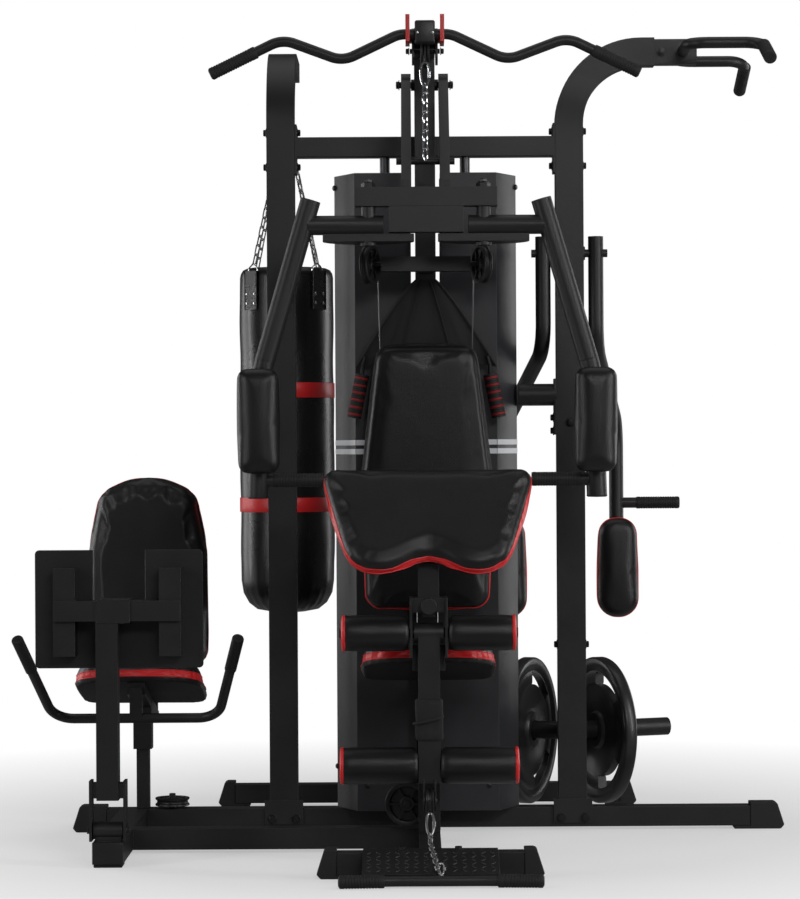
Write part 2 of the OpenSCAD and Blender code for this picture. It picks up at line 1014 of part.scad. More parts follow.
module leg_press_base() {
    join_y = -395;
    right_face = lp_rail_x + 35;
    lug = 34;
    color(steel) {
        tube_x([(right_face - half) / 2, join_y, base_z], -half - right_face, tube, tube);
        tube_y([lp_rail_x, (-665 - half) / 2, base_z], 665 - half, 70, tube);
        tube_z([-lp_x, 0, (base_top + lp_post_top) / 2], lp_post_top - base_top, lp_post, lp_post);
        difference() {
            union() {
                x_rod([lp_rail_x, lp_pivot_y, lp_pivot_z], 20, 2 * lug);
                block([lp_rail_x - 30, lp_pivot_y - 15, base_top], [lp_rail_x + 30, lp_pivot_y + 15, lp_pivot_z - 8]);
            }
            x_rod([lp_rail_x, lp_pivot_y, lp_pivot_z], lp_pin_r + run, 80);
        }
        translate([-640, 0, base_top])
            cylinder(r = lp_pin_r, h = 36);
    }
}

module leg_press_pulley() {
    color(rubber)
        translate([-640, 0, base_top + 16])
            pulley(43, 20, lp_pin_r + run);
}

module leg_press_lever() {
    x = lp_rail_x;
    cross_lo = 562;
    color(steel) {
        for (s = [-1, 1])
            block([x + s * 39 - 3, lp_pivot_y - 25, 60], [x + s * 39 + 3, lp_pivot_y + 25, 198]);
        block([x - 37, lp_pivot_y - 20, 158], [x + 37, lp_pivot_y + 20, 192]);
        x_rod([x, lp_pivot_y, lp_pivot_z], lp_pin_r, 98);
        block([x - lever_w / 2, lp_pivot_y - 24, 153], [x + lever_w / 2, lp_pivot_y + 24, 600]);
        pipe([
            [x, lp_pivot_y, 455], [x, lp_brace_y, 350], [x, lp_brace_y, 215], [x, lp_pivot_y + 8, 175],
        ], 28, 50);
        block([-lp_x - 45, lp_pivot_y - 26, cross_lo - 4], [-lp_x + 30, plate_y - 3, cross_lo + 50]);
        block([-lp_x - 145, lp_pivot_y - 22, cross_lo], [-lp_x + 145, plate_y - 4, cross_lo + 46]);
        for (s = [-1, 1])
            block([-lp_x + s * 121 - 25, lp_pivot_y - 10, 481], [-lp_x + s * 121 + 25, plate_y, 683]);
    }
}

module foot_plate() {
    w = foot_plate_w;
    h = 272;
    r = 10;
    t = 5;
    color(steel)
        translate([-lp_x, plate_y + t, foot_plate_z])
            rotate([90, 0, 0])
                linear_extrude(t)
                    difference() {
                        union() {
                            translate([-w / 2 + r, 0])
                                square([w - 2 * r, h]);
                            translate([-w / 2, r])
                                square([w, h - 2 * r]);
                            for (x = [-w / 2 + r, w / 2 - r], y = [r, h - r])
                                translate([x, y])
                                    circle(r = r);
                        }
                        translate([-60, h - 125])
                            square([120, 130]);
                        translate([0, h - 125])
                            circle(r = 45);
                    }
}

function lp_under(y) = lp_seat_front[1] - (y - lp_seat_front[0]) * tan(lp_seat_tilt);

module leg_press_seat_frame() {
    x = -lp_x;
    beam_t = 30;
    bar = [-190, 299];
    color(steel) {
        difference() {
            block([x - 23, -23, 207], [x + 23, 23, lp_under(23) - 2]);
            translate([x, 0, 200])
                cube([lp_post + 2, lp_post + 2, 2 * (lp_post_top + 3 - 200)], center = true);
        }
        side_profile(x - 22, x + 22)
            polygon([
                [-185, lp_under(-185)], [208, lp_under(208)],
                [208, lp_under(208) - beam_t], [-185, lp_under(-185) - beam_t],
            ]);
        block([x - 20, 178, lp_under(200) - 20], [x + 20, 208, 800]);
        block([x - 15, bar[0] - 12, bar[1]], [x + 15, bar[0] + 18, lp_under(-180) - 10]);
        pipe([
            [x - 262, -400, 506], [x - 200, bar[0], bar[1]], [x + 200, bar[0], bar[1]], [x + 262, -400, 506],
        ], 24, 60);
    }
}

module leg_press_pads() {
    r = 50;
    w = 157 - r;
    l = 310;
    x = -lp_x;
    color(leather) {
        translate([x, lp_seat_front[0], lp_seat_front[1]])
            rotate([-lp_seat_tilt, 0, 0])
                translate([0, 0, gap])
                    pad_slab([[-w, l - r, r], [w, l - r, r], [-w, r, r], [w, r, r]], 60);
        translate([x, 178 - gap, 0])
            rotate([90, 0, 0])
                pad_slab([
                    [-152 + r, 395 + r, r], [152 - r, 395 + r, r], [-150 + r, 700, r], [150 - r, 700, r],
                    [-45, 879 - 80, 80], [45, 879 - 80, 80],
                ], 56);
    }
}

// ---- heavy bag ----

module bag_hook() {
    color(chrome)
        translate([-upright_x, bag_y, 0]) {
            difference() {
                union() {
                    x_rod([0, 0, hook_z], 11, 11);
                    translate([0, 0, 1852])
                        cylinder(r = 5, h = 36);
                }
                x_rod([0, 0, hook_z], 5 + run, 20);
            }
            translate([0, 0, 1848])
                sphere(r = 9);
        }
}

module bag_chains() {
    top = 1795;
    color(chrome)
        translate([-upright_x, bag_y, 0]) {
            translate([0, 0, top - 8])
                cylinder(r = 5, h = 1836 - top);
            for (a = [45 : 90 : 315])
                rod([0, 0, top], [106 * cos(a), 106 * sin(a), bag_z + bag_h + 4], 5);
            translate([0, 0, top])
                sphere(r = 12);
        }
}

module punching_bag() {
    color(leather)
        translate([-upright_x, bag_y, bag_z])
            cylinder(r = bag_d / 2, h = bag_h);
}

// ---- dip arms and plate storage ----

module dip_arms() {
    color(steel) {
        x_rod([upright_x, 0, dip_z], dip_pin_r, 190);
        for (s = [-1, 1]) {
            near = upright_x + s * dip_near;
            far = upright_x + s * dip_far;
            pipe([[near, 0, 1480], [near, 0, 1200], [far, dip_back, 1015], [far, dip_back, 560]], dip_d, 90);
            x_rod([far + s * 88, dip_back, 805], 14, 160);
        }
    }
}

module dip_pads() {
    r = 44;
    color(leather)
        for (s = [-1, 1])
            translate([upright_x + s * dip_far, dip_back - dip_d / 2 - gap, 0])
                rotate([90, 0, 0])
                    pad_slab([[-8, 504 + r, r + 8 - 1], [8, 504 + r, r + 8 - 1], [-6, 765 - r, r], [6, 765 - r, r]], 56);
}

function peg_axis(s) = [s * cos(peg_yaw), sin(peg_yaw), 0];

module plate_holder() {
    color(steel) {
        block([upright_x - 20, half, peg_z - 20], [upright_x + 20, peg_y + 12, peg_z + 20]);
        for (i = [0, 1]) {
            s = 2 * i - 1;
            root = [upright_x + s * 20, peg_y, peg_z];
            collar = root + peg_axis(s) * (disc_at[i] + disc_t / 2 + 6);
            rod(root - peg_axis(s) * 12, collar, peg_r);
            rod(collar, collar + peg_axis(s) * 3, peg_r - 2);
            rod(collar + peg_axis(s) * 3, root + peg_axis(s) * peg_len[i], peg_r);
        }
    }
}

module weight_plate(i) {
    s = 2 * i - 1;
    hang = disc_hole_r - peg_r - 0.1;
    color(rubber)
        along([upright_x + s * 20, peg_y, peg_z - hang] + peg_axis(s) * disc_at[i], peg_axis(s))
            difference() {
                cylinder(r = disc_r, h = disc_t, center = true);
                cylinder(r = disc_hole_r, h = disc_t + 2, center = true);
                for (a = [0 : 120 : 240])
                    rotate(a + 62)
                        translate([0, 0, -disc_t / 2 - 1])
                            rotate_extrude(angle = 56)
                                translate([118, 0])
                                    square([34, disc_t + 2]);
            }
}

module weight_plate_left() {
    weight_plate(0);
}

module weight_plate_right() {
    weight_plate(1);
}

main_base_tube();
rear_base_tube();
centre_rail();
front_base_tube();
foot_caps();
front_upright();
top_boom();
rear_upright();
left_upright();
right_upright();
upper_cross_beam();
bar_hooks();
seat_frame();
seat_pad();
back_pad();
shroud_left();
shroud_right();
rear_shroud();
guide_rods();
resting_plates();
tread_plate();
side_pulley_bracket();
pull_up_handle();
plate_holder();
leg_press_base();
frame_bolts();
cables();
side_brace();
ab_harness();
lifted_plates();
selector_pin();
press_frame();
fly_arm_left();
fly_arm_right();
fly_pad_left();
fly_pad_right();
leg_lever();
knee_rollers();
ankle_rollers();
lat_bar();
row_bar();
leg_press_lever();
foot_plate();
leg_press_seat_frame();
leg_press_pads();
bag_hook();
punching_bag();
bag_chains();
preacher_pad();
preacher_post();
dip_arms();
dip_pads();
weight_plate_left();
weight_plate_right();
top_pulley();
low_pulley();
side_pulley_left();
side_pulley_right();
leg_press_pulley();
turning_pulley();
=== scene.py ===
import bmesh
import bpy
import json
import math
from mathutils import Matrix, Vector, noise


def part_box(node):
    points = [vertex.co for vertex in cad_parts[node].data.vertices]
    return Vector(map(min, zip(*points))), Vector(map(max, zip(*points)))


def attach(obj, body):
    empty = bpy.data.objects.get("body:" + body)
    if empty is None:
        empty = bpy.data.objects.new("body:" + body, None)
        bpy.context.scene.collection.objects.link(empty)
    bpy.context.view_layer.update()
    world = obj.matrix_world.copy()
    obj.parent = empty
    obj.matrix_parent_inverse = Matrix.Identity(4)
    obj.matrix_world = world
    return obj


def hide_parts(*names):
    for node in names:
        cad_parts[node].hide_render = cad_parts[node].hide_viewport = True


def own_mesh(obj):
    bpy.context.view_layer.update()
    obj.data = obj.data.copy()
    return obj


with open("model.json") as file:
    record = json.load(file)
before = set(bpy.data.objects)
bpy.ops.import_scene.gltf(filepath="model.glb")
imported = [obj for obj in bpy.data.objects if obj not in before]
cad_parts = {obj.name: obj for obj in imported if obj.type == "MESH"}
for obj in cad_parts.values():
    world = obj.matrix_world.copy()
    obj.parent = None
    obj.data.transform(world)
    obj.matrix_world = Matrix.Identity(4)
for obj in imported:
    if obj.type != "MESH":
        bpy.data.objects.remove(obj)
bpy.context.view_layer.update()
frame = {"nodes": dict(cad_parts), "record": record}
NODES = frame["nodes"]
BODY_OF = {n: b for b, ns in frame["record"]["behaviour"]["bodies"].items() for n in ns}
scene = bpy.context.scene
MM = 0.001
FRAME = BODY_OF["main_base_tube"]

# Places in the CAD frame, in mm.
SIDE_X = 360          # centre of the left and right uprights
LEG_PRESS_X = -712    # centre of the leg press seat
DIP_REACH = 148       # from the right upright to either dip arm
ROLLER_Y = -620       # axles of the foam rollers
GRIP_Y = -420         # centre plane of the butterfly arms
PULLEY_Y = -320       # axle of the top pulley
PULLEY_Z = 1903
CABLE_SEAT = 43.5     # radius of a cable's centre line on a pulley
YAW = math.radians(22)    # turn of the side pulleys and of the weight plates


def metres(x, y, z):
    """A point in metres, from millimetres."""
    return Vector((x, y, z)) * MM


# ---------------------------------------------------------------- materials

def material(name, base, rough, metal=0.0, kind="noise", grain=900, bump=0.15, vary=0.3, coat=0.0,
             wear_and_edge_highlight=0.0):
    """A procedural finish. vary mottles the colour, grain sizes the bump, wear_and_edge_highlight lightens
    the edges: partly rubbed wear, partly a painted edge highlight.
    """
    m = bpy.data.materials.new(name)
    m.use_nodes = True
    n, link = m.node_tree.nodes, m.node_tree.links.new
    bsdf = n["Principled BSDF"]
    bsdf.inputs["Metallic"].default_value = metal
    bsdf.inputs["Coat Weight"].default_value = coat
    bsdf.inputs["Coat Roughness"].default_value = 0.12
    tc = n.new("ShaderNodeTexCoord")

    def tex(kind_, scale, detail=3.0):
        t = n.new("ShaderNodeTex" + kind_)
        t.inputs["Scale"].default_value = scale
        if kind_ == "Noise":
            t.inputs["Detail"].default_value = detail
        link(tc.outputs["Object"], t.inputs["Vector"])
        return t

    def maths(op, a, b, clamp=False):
        q = n.new("ShaderNodeMath")
        q.operation = op
        q.use_clamp = clamp
        for i, s in enumerate((a, b)):
            if isinstance(s, (int, float)):
                q.inputs[i].default_value = s
            else:
                link(s, q.inputs[i])
        return q.outputs[0]

    blotch = tex("Noise", 9, 4).outputs["Fac"]
    mix = n.new("ShaderNodeMixRGB")
    mix.inputs[1].default_value = (*[c * (1 - vary) for c in base], 1)
    mix.inputs[2].default_value = (*[min(1, c * (1 + vary)) for c in base], 1)
    link(blotch, mix.inputs[0])
    colour = mix.outputs[0]
    roughness = maths("MULTIPLY_ADD", blotch, 0.16)
    roughness.node.inputs[2].default_value = rough - 0.08
    if kind == "leather":
        cells = tex("Voronoi", grain).outputs["Distance"]
        height = maths("ADD", cells, maths("MULTIPLY", tex("Noise", 28, 5).outputs["Fac"], 1.6))
    elif kind == "weave":
        waves = []
        for axis in ("X", "Z"):
            w = tex("Wave", grain)
            w.bands_direction = axis
            waves.append(w.outputs["Fac"])
        height = maths("MULTIPLY", waves[0], waves[1])
    elif kind == "foam":
        height = maths("ADD", tex("Voronoi", grain).outputs["Distance"],
                       tex("Noise", grain * 0.6).outputs["Fac"])
    else:
        height = maths("ADD", tex("Noise", grain, 2).outputs["Fac"],
                       maths("MULTIPLY", tex("Noise", grain * 0.12, 2).outputs["Fac"], 0.8))
    b = n.new("ShaderNodeBump")
    b.inputs["Strength"].default_value = bump
    b.inputs["Distance"].default_value = 0.001
    link(height, b.inputs["Height"])
    # Lighter colour along every edge: partly rubbed paint wear, partly a painted edge highlight.
    if wear_and_edge_highlight:
        bev = n.new("ShaderNodeBevel")
        bev.samples = 4
        bev.inputs["Radius"].default_value = 0.0016
        geo = n.new("ShaderNodeNewGeometry")
        dot = n.new("ShaderNodeVectorMath")
        dot.operation = "DOT_PRODUCT"
        link(bev.outputs[0], dot.inputs[0])
        link(geo.outputs["Normal"], dot.inputs[1])
        edge = maths("MULTIPLY", maths("SUBTRACT", 1.0, dot.outputs["Value"]), 3.0, True)
        edge = maths("MULTIPLY", edge, tex("Noise", 120, 4).outputs["Fac"], True)
        rub_and_edge_highlight = n.new("ShaderNodeMixRGB")
        rub_and_edge_highlight.inputs[2].default_value = (*[min(1, c + wear_and_edge_highlight) for c in base], 1)
        link(edge, rub_and_edge_highlight.inputs[0])
        link(colour, rub_and_edge_highlight.inputs[1])
        colour = rub_and_edge_highlight.outputs[0]
        link(bev.outputs[0], b.inputs["Normal"])
    link(colour, bsdf.inputs["Base Color"])
    link(roughness, bsdf.inputs["Roughness"])
    link(b.outputs[0], bsdf.inputs["Normal"])
    return m


# POWDER and COVER lighten their edges: rubbed wear and a painted edge highlight.
POWDER = material("powder_coat", (0.016, 0.016, 0.0172), 0.42, grain=1100, bump=0.22, wear_and_edge_highlight=0.05)
COVER = material("cover_coat", (0.025, 0.0255, 0.029), 0.42, grain=1000, bump=0.2, wear_and_edge_highlight=0.05)
LEATHER = material("leather", (0.009, 0.009, 0.0096), 0.36, kind="leather", grain=620, bump=0.24, vary=0.25)
GLOSS = material("bag_vinyl", (0.009, 0.009, 0.010), 0.28, kind="leather", grain=520, bump=0.2, coat=0.12)
# The board under each pad, darker than the leather: painted shade on the pad undersides.
BOARD_PAINTED_SHADE = material("pad_underside_painted_shade", (0.004, 0.004, 0.004), 0.8, kind="weave", grain=900, bump=0.2)
RED = material("red_vinyl", (0.86, 0.026, 0.030), 0.36, kind="leather", grain=700, bump=0.12, vary=0.15)
DULL_RED = material("dull_red_foam", (0.26, 0.010, 0.012), 0.62, kind="foam", grain=1300, vary=0.2)
DIPPED = material("red_dipped", (0.55, 0.015, 0.018), 0.25, grain=400, bump=0.06, vary=0.1, coat=0.4)
RUBBER = material("rubber", (0.012, 0.012, 0.012), 0.62, kind="foam", grain=1500, bump=0.12)
NYLON = material("nylon", (0.014, 0.014, 0.015), 0.4, grain=1300, bump=0.1)
CHROME = material("chrome", (0.60, 0.61, 0.63), 0.16, metal=1.0, grain=260, bump=0.02, vary=0.1)
ZINC = material("zinc", (0.42, 0.42, 0.43), 0.32, metal=1.0, grain=700, bump=0.08, vary=0.2)
SATIN = material("satin_steel", (0.10, 0.10, 0.105), 0.4, metal=1.0, grain=800, bump=0.05, vary=0.2)
BLACK_BOLT = material("black_oxide", (0.03, 0.03, 0.032), 0.34, metal=0.7, grain=900, bump=0.1)
IRON = material("stack_iron", (0.028, 0.028, 0.03), 0.6, grain=600, bump=0.4)
DISC = material("disc_coat", (0.020, 0.020, 0.021), 0.36, grain=420, bump=0.2, coat=0.1)
FABRIC = material("mesh_fabric", (0.024, 0.024, 0.025), 0.85, kind="weave", grain=420, bump=0.6)
STRIPE = material("stripe_grey", (0.80, 0.81, 0.84), 0.5, grain=900, bump=0.06, vary=0.06)
STAGE = material("stage_white", (0.90, 0.90, 0.90), 0.9, grain=30, bump=0.01, vary=0.005)
CABLE = material("cable_coat", (0.012, 0.012, 0.012), 0.3, grain=1500, bump=0.1)


# ------------------------------------------------------------------ helpers

def shade(bm, limit=35):
    """Smooth shading, with a sharp edge wherever two faces meet at more than limit degrees."""
    bm.normal_update()
    for f in bm.faces:
        f.smooth = True
    for e in bm.edges:
        e.smooth = len(e.link_faces) != 2 or e.calc_face_angle(0) < math.radians(limit)


def piece(name, bm, mats, body, replaces=(), flat_weight=False):
    """Turns a finished mesh into an object that rides on a body and may stand for CAD nodes."""
    bmesh.ops.recalc_face_normals(bm, faces=bm.faces)
    shade(bm)
    me = bpy.data.meshes.new(name)
    bm.to_mesh(me)
    bm.free()
    for m in mats if isinstance(mats, (list, tuple)) else [mats]:
        me.materials.append(m)
    o = bpy.data.objects.new(name, me)
    scene.collection.objects.link(o)
    if flat_weight:
        w = o.modifiers.new("weighted", "WEIGHTED_NORMAL")
        w.keep_sharp = True
    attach(o, body)
    if replaces:
        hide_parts(*replaces)
    return o


def frame_of(d):
    """Two unit vectors square to d and to each other."""
    d = d.normalized()
    ref = Vector((0, 0, 1)) if abs(d.z) < 0.9 else Vector((1, 0, 0))
    a = d.cross(ref).normalized()
    return a, d.cross(a).normalized()


def rounded(points, bend, steps=8):
    """A polyline, in mm, with its corners turned into arcs."""
    p = [Vector(q) for q in points]
    out = [p[0]]
    for i in range(1, len(p) - 1):
        a, b = (p[i - 1] - p[i]).normalized(), (p[i + 1] - p[i]).normalized()
        half = a.angle(b) / 2
        cut = min(bend / math.tan(half), (p[i - 1] - p[i]).length * 0.49, (p[i + 1] - p[i]).length * 0.49)
        r = cut * math.tan(half)
        c = p[i] + (a + b).normalized() * (r / math.sin(half))
        u, v = p[i] + a * cut - c, p[i] + b * cut - c
        for k in range(steps + 1):
            out.append(c + u.slerp(v, k / steps).normalized() * r)
    out.append(p[-1])
    return out


def sweep(bm, path, r, seg=20, closed=False, mat=0):
    """A round tube along a path in mm: domed at both ends, or joined to itself when closed."""
    n = len(path)
    rings, a = [], None
    for i, q in enumerate(path):
        prev = path[i - 1] if i or closed else q
        nxt = path[(i + 1) % n] if i < n - 1 or closed else q
        d = (nxt - prev).normalized()
        if a is None:
            a, _ = frame_of(d)
        a = (a - d * a.dot(d)).normalized()
        b = d.cross(a)
        rings.append([q + (a * math.cos(t) + b * math.sin(t)) * r for t in
                      [2 * math.pi * k / seg for k in range(seg)]])
    if not closed:
        for end, q, o in ((0, path[0], path[1]), (-1, path[-1], path[-2])):
            d = (q - o).normalized()
            ring = rings[end]
            extra = [[q + (v - q) * s + d * h * (ring[0] - q).length for v in ring]
                     for s, h in ((0.93, 0.06), (0.7, 0.12))]
            rings = extra[::-1] + rings if end == 0 else rings + extra
    made = [[bm.verts.new(v * MM) for v in ring] for ring in rings]
    pairs = list(zip(made, made[1:])) + ([(made[-1], made[0])] if closed else [])
    for x, y in pairs:
        for k in range(seg):
            f = bm.faces.new((x[k], x[(k + 1) % seg], y[(k + 1) % seg], y[k]))
            f.material_index = mat
    if not closed:
        for ring in (made[0], made[-1]):
            bm.faces.new(ring).material_index = mat


def lathe(bm, c, d, profile, seg=48, mat=0, bulge=None):
    """Turns [(radius, height)] in mm about the axis d through c.
    A profile that starts and ends off the axis closes on itself."""
    c, d = Vector(c), Vector(d).normalized()
    a, b = frame_of(d)
    solid = profile[0][0] > 0.01
    rings = []
    for r, h in profile:
        if r <= 0.01:
            rings.append([bm.verts.new((c + d * h) * MM)])
            continue
        ring = []
        for k in range(seg):
            t = 2 * math.pi * k / seg
            rr, hh = bulge(r, h, t) if bulge else (r, h)
            ring.append(bm.verts.new((c + d * hh + (a * math.cos(t) + b * math.sin(t)) * rr) * MM))
        rings.append(ring)
    pairs = list(zip(rings, rings[1:])) + ([(rings[-1], rings[0])] if solid else [])
    for x, y in pairs:
        for k in range(seg):
            j = (k + 1) % seg
            vs = [x[k % len(x)], x[j % len(x)], y[j % len(y)], y[k % len(y)]]
            vs = [v for i, v in enumerate(vs) if v not in vs[:i]]
            if len(vs) > 2:
                bm.faces.new(vs).material_index = mat


def slab(bm, lo, hi, bevel, turn=None, about=(0, 0, 0)):
    """A box in mm between two corners, with rounded edges."""
    lo, hi = Vector(lo), Vector(hi)
    made = bmesh.ops.create_cube(bm, size=1.0)["verts"]
    for v in made:
        v.co = Vector([lo[i] + (v.co[i] + 0.5) * (hi[i] - lo[i]) for i in range(3)]) * MM
        if turn is not None:
            v.co = turn @ (v.co - metres(*about)) + metres(*about)
    edges = list({e for v in made for e in v.link_edges})
    if bevel:
        bmesh.ops.bevel(bm, geom=edges, offset=bevel * MM, segments=3, profile=0.5, affect="EDGES",
                        clamp_overlap=True)


def hexbolt(bm, p, d, r=9.0, washer=11.5):
    """A washer and a domed hexagon head standing on the point p."""
    lathe(bm, p, d, [(0, 0.0), (washer, 0.0), (washer, 1.6), (washer - 0.8, 2.2), (0, 2.2)], 32)
    q = Vector(p) + Vector(d).normalized() * 1.9
    lathe(bm, q, d, [(0, 0), (r, 0), (r, 5.2), (r * 0.88, 6.4), (r * 0.5, 6.8), (0, 7.0)], 6)


def grip(bm, a, b, r):
    """A ribbed rubber grip between two points."""
    a, b = Vector(a), Vector(b)
    length = (b - a).length
    prof = [(0, 0), (r * 0.6, 0.0), (r * 0.94, 1.2), (r, 3.5), (r, 9)]
    h = 12.0
    while h < length - 14:
        prof += [(r, h), (r - 0.9, h + 0.9), (r - 0.9, h + 2.2), (r, h + 3.1)]
        h += 6.4
    prof += [(r, length - 9), (r, length - 3.5), (r * 0.94, length - 1.2), (r * 0.6, length), (0, length)]
    lathe(bm, a, b - a, prof, 32)


def grip_from(bm, end, inner, length, r):
    """A grip of the given length that starts at end and runs towards inner."""
    end, inner = Vector(end), Vector(inner)
    grip(bm, end, end + (inner - end).normalized() * length, r)


def links(bm, path, pitch, width, wire):
    """A chain of welded links along a path in mm, each turned a quarter from the last."""
    dist = [0.0]
    for q, w in zip(path, path[1:]):
        dist.append(dist[-1] + (w - q).length)
    count = max(2, round(dist[-1] / pitch))
    at = []
    for i in range(count + 1):
        s = dist[-1] * i / count
        k = max(j for j in range(len(dist) - 1) if dist[j] <= s + 1e-6)
        at.append(path[k].lerp(path[k + 1], (s - dist[k]) / (dist[k + 1] - dist[k])))
    for i, (q, w) in enumerate(zip(at, at[1:])):
        d = (w - q).normalized()
        a, b = frame_of(d)
        side = (a + b).normalized() if i % 2 else (a - b).normalized()
        mid = (q + w) / 2
        straight = (w - q).length / 2 + wire - (width / 2 - wire) + 0.4
        rr = width / 2 - wire
        loop = []
        for k in range(16):
            t = 2 * math.pi * (k + 0.5) / 16
            end = straight if math.sin(t) > 0 else -straight
            loop.append(mid + side * rr * math.cos(t) + d * (rr * math.sin(t) + end))
        sweep(bm, loop, wire, 8, closed=True)


def carabiner(bm, top, low, width, wire):
    """A spring hook between two points, with its sleeve on the +X side."""
    top, low, side = Vector(top), Vector(low), Vector((1, 0, 0))
    d = (top - low).normalized()
    mid, h, w = (top + low) / 2, (top - low).length / 2 - wire, width / 2 - wire
    loop = []
    for k in range(28):
        t = 2 * math.pi * k / 28
        squeeze = 1 - 0.25 * (math.sin(t) < 0) * abs(math.sin(t))
        loop.append(mid + side * w * squeeze * math.copysign(abs(math.cos(t)) ** 0.7, math.cos(t))
                    + d * h * math.copysign(abs(math.sin(t)) ** 0.8, math.sin(t)))
    sweep(bm, loop, wire, 10, closed=True)
    sleeve = [(0, 0), (wire + 1.2, 0), (wire + 1.2, h * 0.5), (0, h * 0.5)]
    lathe(bm, mid + side * w - d * h * 0.3, d, sleeve, 16)


shown_as_packed = []


def soften(node, mat, width=1.6):
    """Stands for a CAD node with the same shape, its sharp edges rounded a little."""
    bm = bmesh.new()
    bm.from_mesh(NODES[node].data)
    bmesh.ops.remove_doubles(bm, verts=bm.verts, dist=2e-5)
    bmesh.ops.dissolve_limit(bm, angle_limit=math.radians(2), verts=bm.verts, edges=bm.edges)
    before = abs(bm.calc_volume())
    bm.normal_update()
    sharp = [e for e in bm.edges if len(e.link_faces) == 2 and e.calc_face_angle(0) > math.radians(40)]
    bmesh.ops.bevel(bm, geom=sharp, offset=width * MM, segments=2, profile=0.5, affect="EDGES",
                    clamp_overlap=True)
    lo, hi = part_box(node)
    off = max(max(abs(min(v.co[i] for v in bm.verts) - lo[i]), abs(max(v.co[i] for v in bm.verts) - hi[i]))
              for i in range(3))
    same_size = off < 1.2 * MM and abs(abs(bm.calc_volume()) - before) < 0.04 * before
    if not (same_size and all(e.is_manifold for e in bm.edges)):
        bm.free()
        NODES[node].data.materials.clear()
        NODES[node].data.materials.append(mat)
        shown_as_packed.append(node)
        return
    piece(node + "_body", bm, mat, BODY_OF[node], [node], flat_weight=True)


# --------------------------------------------------------------- soft goods

def circle_hull(corners, step=5.0):
    """Evenly spaced outline of the hull round circles (u, v, r)."""
    pts = []
    turns = [2 * math.pi * k / 96 for k in range(96)]
    for u, v, r in corners:
        pts += [(u + r * math.cos(t), v + r * math.sin(t)) for t in turns]
    pts = sorted(set((round(x, 4), round(y, 4)) for x, y in pts))

    def chain(seq):
        out = []
        for q in seq:
            while len(out) > 1 and ((out[-1][0] - out[-2][0]) * (q[1] - out[-2][1])
                                    - (out[-1][1] - out[-2][1]) * (q[0] - out[-2][0])) <= 0:
                out.pop()
            out.append(q)
        return out[:-1]
    return resample([Vector(q) for q in chain(pts) + chain(pts[::-1])], step)


def resample(loop, step):
    """Points about step apart along a closed loop."""
    loop = loop + [loop[0]]
    dist = [0.0]
    for q, w in zip(loop, loop[1:]):
        dist.append(dist[-1] + (w - q).length)
    n, k, out = max(16, round(dist[-1] / step)), 0, []
    for i in range(n):
        s = dist[-1] * i / n
        while dist[k + 1] < s:
            k += 1
        out.append(loop[k].lerp(loop[k + 1], (s - dist[k]) / (dist[k + 1] - dist[k])))
    return out


def edge_distance(q, loop):
    """How far q is from the nearest side of a closed outline."""
    best = 1e9
    for a, b in zip(loop, loop[1:] + loop[:1]):
        ab = b - a
        t = max(0.0, min(1.0, (q - a).dot(ab) / ab.length_squared))
        best = min(best, (q - a - ab * t).length)
    return best


